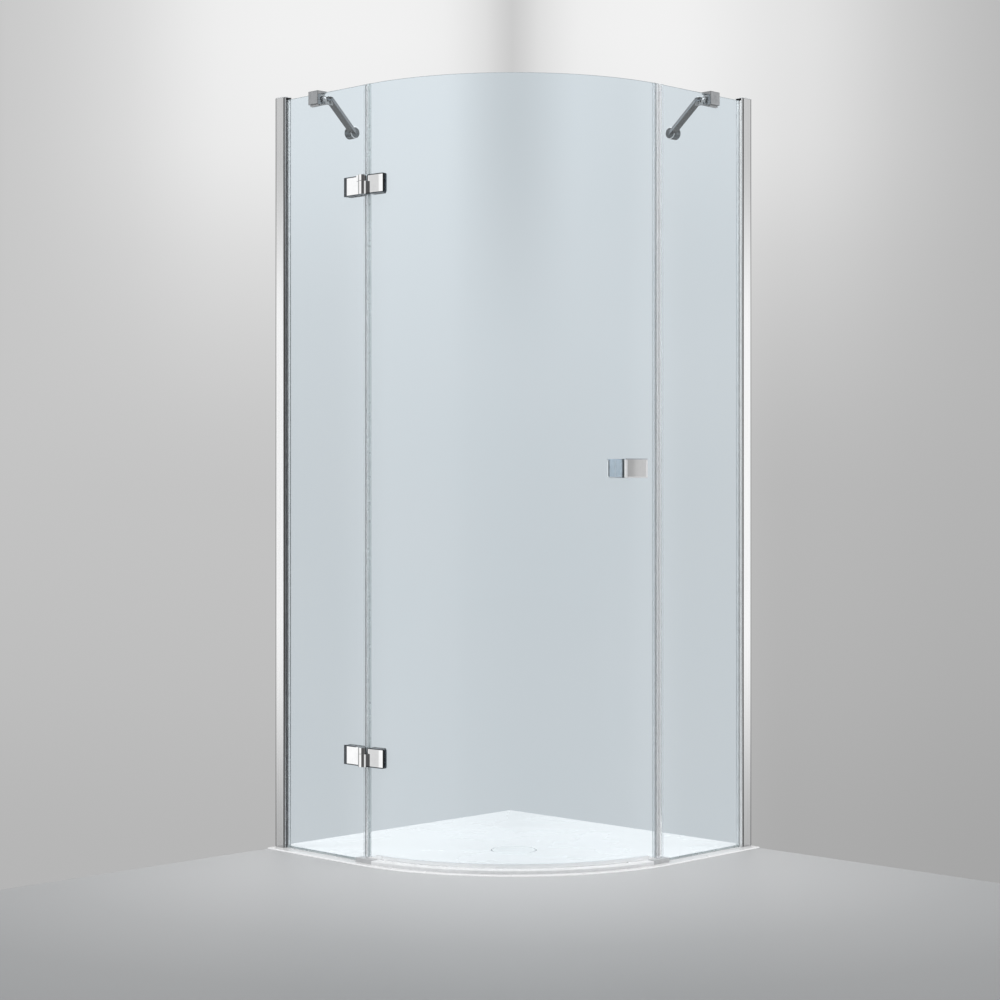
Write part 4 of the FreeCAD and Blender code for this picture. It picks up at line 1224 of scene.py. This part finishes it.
# The ring between the bracket's face and side wears the pale finish as a painted highlight.
wear(drum, (bracket_chrome, bright_rim), lambda face: int(0.25 < face.normal.x < 0.97))

for piece, part, finish in ((clamp, "clamp", stay_chrome), (bar, "bar", bar_chrome),
                            (drum, "bracket", bracket_chrome)):
    twin = mirrored(piece, piece.name.replace("left", "right"))
    dress(piece, "enclosure", "stay_chrome", finish, "stay_" + part + "_left")
    dress(twin, "enclosure", "stay_chrome", finish, "stay_" + part + "_right")

# %% [markdown]
# ## Small parts
#
# Caps, gaskets, seals, screws and pins have the right shape already. Their solids
# come in as loose triangles, so a copy of each is merged, its flat areas are made
# one face again, and its edges get a fine rounding. This keeps them exactly in place
# and lets them catch the light like turned and moulded parts. The table gives each
# family its finish and rounding by how its name starts, and the first that fits holds:
# the stay feet's lock screws come under stay_foot.

# %% Merged copies of the small parts
# The stays' pins wear the pale finish as a painted highlight.
FINISHES = {
    "channel_cap": (cap_grey, 0.0004), "glazing_gasket_left": (shade_rubber, 0.0003),
    "glazing_gasket": (pale_rubber, 0.0003),
    "stay_swivel": (stay_chrome, 0.0006), "stay_foot": (stay_chrome, 0.0003),
    "stay_liners": (grey_rubber, 0.0), "stay_grub_screws": (fastener_steel, 0.0003),
    "stay_pivot_pins": (bright_rim, 0.0004), "stay_bar_pins": (bright_rim, 0.0004),
    "stay_bracket_pins": (bright_rim, 0.0003),
    "channel_lock_screws": (fastener_steel, 0.0003), "hinge_pins": (fastener_steel, 0.0003),
    "hinge_bushes": (bush_plastic, 0.0), "hinge_frame_pads": (grey_rubber, 0.0),
    "hinge_door_pads": (grey_rubber, 0.0), "hinge_frame_screws": (fastener_steel, 0.0002),
    "hinge_door_screws": (fastener_steel, 0.0002), "handle_studs": (fastener_steel, 0.0002),
    "handle_washers": (clear_seal, 0.0), "sill_seal": (sill_vinyl, 0.0002),
    "hinge_seal": (clear_seal, 0.0002), "magnet_seal": (clear_seal, 0.0002),
    "magnet_bar": (magnet_grey, 0.0002), "drip_seal": (drip_vinyl, 0.0),
    "drain_cover": (cover_white, 0.0002),
}
SLOTS = {finish.name: finish.name for finish, width in FINISHES.values()}
SLOTS["magnet_grey"] = "magnet_dark"
SLOTS["cap_grey"] = "cap_chrome"
SLOTS["pale_rubber"] = SLOTS["shade_rubber"] = "grey_rubber"
SLOTS["sill_vinyl"] = SLOTS["drip_vinyl"] = "clear_seal"
SLOTS["bright_rim"] = "stay_chrome"
GLASS_Y = -GLASS_LINE


def body_of_node(name):
    """The moving body that carries a node."""
    for body, members in frame["record"]["behaviour"]["bodies"].items():
        if name in members:
            return body
    return "enclosure"


def merged_copy(name, width):
    """A merged and softened copy of a solid's mesh."""
    piece = bpy.data.objects.new("fine_" + name, nodes[name].data.copy())
    bpy.context.collection.objects.link(piece)
    piece.data.materials.clear()
    outwards(piece)
    edit(piece)
    bpy.ops.mesh.dissolve_limited(angle_limit=math.radians(0.3))
    leave_edit()
    return soften(piece, width, angle=40) if width > 0 else crisp(piece)


for name in sorted(nodes):
    for start_word, (finish, width) in FINISHES.items():
        if name.startswith(start_word):
            piece = merged_copy(name, width)
            # The outer leg of the left glazing gasket gets painted shade; the rest is pale rubber.
            if finish is shade_rubber:
                wear(piece, (shade_rubber, pale_rubber),
                     lambda face: 0 if face.center.y < GLASS_Y else 1)
            dress(piece, body_of_node(name), SLOTS[finish.name], finish, name)
            break

# %% [markdown]
# ## Camera
#
# The picture is taken from chest height, level, looking into the room corner from a
# little over five metres with a longish lens, which keeps the uprights parallel. A
# small shift puts the enclosure where the picture has it.

# %% Camera
lens = bpy.data.cameras.new("camera")
camera = bpy.data.objects.new("camera", lens)
bpy.context.collection.objects.link(camera)
camera.location = (3.839, -3.9614, 0.957)
camera.rotation_euler = (math.pi / 2, 0, math.radians(44.467))
lens.lens = 76.76
lens.sensor_width = 36
lens.shift_x = -0.00014
lens.shift_y = -0.01124
bpy.context.scene.camera = camera
print("camera at", tuple(camera.location))

# %% [markdown]
# ## Floor
#
# The tray is let into the floor until only its lip shows. The floor is therefore the
# tray's front outline grown outwards from the room corner, so it meets the tray
# along the curve and ends along the two wall lines. Its colour carries a painted pool
# of light: brightest round the tray and falling off towards the front, as under a lamp
# above the enclosure, until about two metres out; farther on it stays a little paler.

# %% Floor
FLOOR = 0.0272
FLOOR_GROWTH = 14
FLOOR_REACH = 2.5
floor = quadrant_outline(FLOOR, 48)
floor.name = "floor"
pick("edges", lambda part, at: abs(at.x + SIDE / 2) < 0.001 or abs(at.y - SIDE / 2) < 0.001)
bpy.ops.mesh.delete(type="EDGE")
bpy.ops.mesh.select_all(action="SELECT")
bpy.ops.mesh.extrude_edges_move()
bpy.ops.transform.resize(value=(FLOOR_GROWTH, FLOOR_GROWTH, 1),
                         center_override=(-SIDE / 2, SIDE / 2, FLOOR))
bpy.ops.mesh.select_all(action="SELECT")
bpy.ops.mesh.normals_make_consistent(inside=False)
leave_edit()

finish, tree, shader = new_finish("floor_grey")
# A painted pool of light: grey by distance from the room corner, as (place, grey).
FLOOR_TONES = ((0.16, 190), (0.28, 180), (0.48, 161), (0.64, 150), (0.80, 147), (1.0, 165))
away = add_node(tree, "VectorMath", {"operation": "LENGTH"}, Vector=on_piece(tree))
tones = ramp(tree, times(tree, away.outputs["Value"], 1 / FLOOR_REACH),
             [(spot, tone(grey, grey + 1, grey + 2)) for spot, grey in FLOOR_TONES])
feed(tree, tones, shader.inputs["Base Color"])
shader.inputs["Roughness"].default_value = 0.55
floor.data.materials.append(finish)
floor.visible_glossy = False

# %% [markdown]
# ## Background and light
#
# Behind the enclosure stand two grey walls, each with a painted pool of light from
# above and a darker line of painted shade where they meet. No wall is built, because a
# wall would hide the back of the enclosure from other sides: the world's colour gives
# the walls by direction. Only the camera and rays through glass see it; the light
# itself is an even soft grey.
# Mirroring surfaces see a studio instead: bright panels to both sides and a dark room
# behind the camera, darker still overhead and underfoot, so that chrome has something
# to mirror. Straight ahead they see the grey walls again. All tones are given as
# (place, value) pairs, the place running from 0 to 1 over the width or height.

# %% World helpers
world = bpy.data.worlds.new("studio")
bpy.context.scene.world = world
world.use_nodes = True
tree = world.node_tree
tree.nodes.clear()
look = add_node(tree, "TexCoord").outputs["Generated"]


def shade_ramp(factor, stops, kind="B_SPLINE"):
    """A smooth grey ramp; stops are (place, value)."""
    return ramp(tree, factor, [(spot, (value, value, value, 1)) for spot, value in stops], kind)


def component(vector):
    """How far the looking direction points along a vector."""
    dot = add_node(tree, "VectorMath", {"operation": "DOT_PRODUCT"})
    feed(tree, look, dot.inputs[0])
    feed(tree, vector, dot.inputs[1])
    return dot.outputs["Value"]


def blended(first, second, share):
    """Mixes two values; a share of 1 gives the second."""
    return plus(tree, first, times(tree, minus(tree, second, first), share))


def clamped(value, scale, offset=None):
    """A value scaled, and moved if asked, between 0 and 1."""
    if offset is None:
        return maths(tree, "MULTIPLY", value, scale, clamp=True)
    return maths(tree, "MULTIPLY_ADD", value, scale, offset, clamp=True)


def spread(value, low, high, new_low, new_high):
    """Maps a value smoothly in the world's tree."""
    return stretch(tree, value, low, high, new_low, new_high)


# %% Walls, outside and through the glass
TOWARDS = (-0.7005, 0.7137, 0.0)
ACROSS = (0.7137, 0.7005, 0.0)
CORNER_AT = 0.0056
GAMMA = 2.2
WALL = ((0.15, 0.70), (0.3, 0.735), (0.5, 0.762), (0.62, 0.77), (1.0, 0.77))
POOL_HEIGHT = ((0.0, 0.0), (0.2, 0.12), (0.45, 0.55), (0.65, 0.95), (1.0, 1.05))
POOL_SIDE = ((0.0, 0.05), (0.05, 0.6), (0.13, 1.0), (0.3, 1.0), (0.55, 1.0), (0.72, 0.5),
             (0.95, 0.02))
POOL_LIGHT = 0.175
# INSIDE is the wall seen through the glass, paler than outside: the glass's veil as painted
# reflection.
INSIDE = ((0.15, 0.81), (0.3, 0.816), (0.5, 0.824), (0.68, 0.862), (0.85, 0.902))

towards, height = component(TOWARDS), component((0, 0, 1))
ahead = maths(tree, "MAXIMUM", towards, 0.15)
side = maths(tree, "DIVIDE", component(ACROSS), ahead)
rise = maths(tree, "DIVIDE", height, ahead)
from_corner = maths(tree, "ABSOLUTE", minus(tree, side, CORNER_AT))
wall_height = clamped(rise, 2.0, 0.5)

pool = times(tree, shade_ramp(clamped(rise, 4.0), POOL_HEIGHT),
             shade_ramp(clamped(from_corner, 4.0), POOL_SIDE), POOL_LIGHT)
right_shade = plus(tree, spread(side, 0.075, 0.14, 0.0, 0.046),
                   spread(side, 0.14, 0.24, 0.0, 0.016))
wall = minus(tree, plus(tree, shade_ramp(wall_height, WALL), pool), right_shade)
outside_wall = maths(tree, "POWER", wall, GAMMA)

# Painted shade and light on the walls seen through the glass: the corner crease, the far ends,
# high on the right and low on the sides.
crease = times(tree, spread(from_corner, 0.0, 0.035, 0.085, 0.0),
               spread(rise, 0.04, 0.19, 0.0, 1.0))
ends = times(tree, spread(from_corner, 0.06, 0.085, 0.0, 1.0),
             spread(rise, 0.08, 0.17, 0.035, 0.009))
high_right = times(tree, spread(side, 0.0, 0.09, 0.0, 0.03), spread(rise, 0.05, 0.15, 0.0, 1.0))
by_side = maths(tree, "MAXIMUM", spread(side, -0.04, 0.02, 1.0, 0.0),
                spread(side, 0.06, 0.075, 0.0, 1.0))
low_sides = maths(tree, "MULTIPLY_ADD", by_side, 0.017,
                  spread(rise, -0.14, 0.15, 0.006, -0.008))
inside = minus(tree, plus(tree, shade_ramp(wall_height, INSIDE), low_sides),
               plus(tree, crease, ends, high_right))
inside_wall = maths(tree, "POWER", inside, GAMMA)

# %% Studio for mirrors
PANELS = ((-180, 0.10), (-106, 0.12), (-99, 1.05), (-34, 1.0), (-26, 0.10), (46, 0.10),
          (55, 0.34), (66, 0.42), (69, 0.56), (78, 0.60), (88, 1.0), (108, 1.0), (122, 0.30),
          (180, 0.12))
turn = maths(tree, "ARCTAN2", component(ACROSS), times(tree, towards, -1.0))
around = shade_ramp(clamped(turn, 0.5 / math.pi, 0.5),
                    [(0.5 + degrees / 360, value) for degrees, value in PANELS], "LINEAR")
level = times(tree, spread(height, -0.42, -0.2, 0.25, 1.0), spread(height, 0.2, 0.42, 1.0, 0.25))
in_degrees = times(tree, turn, 180 / math.pi)
screen = times(tree, spread(in_degrees, -92.45, -92.1, 0.0, 0.30),
               spread(in_degrees, -82.4, -81.4, 1.0, 0.0))
panels = times(tree, around, minus(tree, 1.0, screen))
studio = blended(times(tree, panels, level), outside_wall, spread(towards, 0.3, 0.6, 0.0, 1.0))

# %% World output
GLASS_VEIL = (0.945, 0.972, 0.998, 1)
EVEN_LIGHT, EVEN_STRENGTH = (0.98, 0.99, 1.0, 1), 0.62
path = add_node(tree, "LightPath").outputs
through_glass = path["Is Transmission Ray"]
looks = maths(tree, "MAXIMUM", path["Is Camera Ray"],
              maths(tree, "MAXIMUM", path["Is Glossy Ray"], through_glass))
mirrored_ray = maths(tree, "SUBTRACT", path["Is Glossy Ray"], through_glass, clamp=True)
seen = blended(blended(outside_wall, inside_wall, through_glass), studio, mirrored_ray)
veil = mixed(tree, through_glass, (1, 1, 1, 1), GLASS_VEIL)
seen_light = add_node(tree, "Background", Color=scaled(tree, veil, seen), Strength=1.0)
even_light = add_node(tree, "Background", Color=EVEN_LIGHT, Strength=EVEN_STRENGTH)
blend = mixed_shader(tree, looks, even_light.outputs[0], seen_light.outputs[0])
feed(tree, blend, add_node(tree, "OutputWorld").inputs["Surface"])
print("world:", len(tree.nodes), "nodes")

# %% [markdown]
# ## Lamps
#
# One large soft lamp hangs over the enclosure and two stand to the sides, because
# large lamps give soft edges to the shadows. The camera, mirrors and glass don't see
# them: what the chrome mirrors as its long white lights are the studio's panels.

# %% Lamps
def lamp(name, place, target, wide, tall, power):
    """A soft rectangular lamp aimed at a target."""
    light = bpy.data.lights.new(name, "AREA")
    light.shape = "RECTANGLE"
    light.size = wide
    light.size_y = tall
    light.energy = power
    holder = bpy.data.objects.new(name, light)
    bpy.context.collection.objects.link(holder)
    holder.location = place
    gaze = [b - a for a, b in zip(place, target)]
    flat = math.hypot(gaze[0], gaze[1])
    holder.rotation_euler = (math.atan2(flat, -gaze[2]), 0, math.atan2(-gaze[0], gaze[1]))
    holder.visible_camera = False
    holder.visible_glossy = False
    holder.visible_transmission = False
    return holder


lamp("overhead", (0.4, -0.4, 3.4), (0.0, 0.0, 0.0), 2.2, 2.2, 60)
lamp("left_side", (-2.0, -2.6, 1.6), (0.0, -0.2, 1.0), 1.2, 2.4, 28)
lamp("right_side", (2.6, 2.0, 1.6), (0.2, 0.0, 1.0), 1.2, 2.4, 22)
bpy.context.scene.view_settings.view_transform = "Standard"
print("pieces:", len(tally))
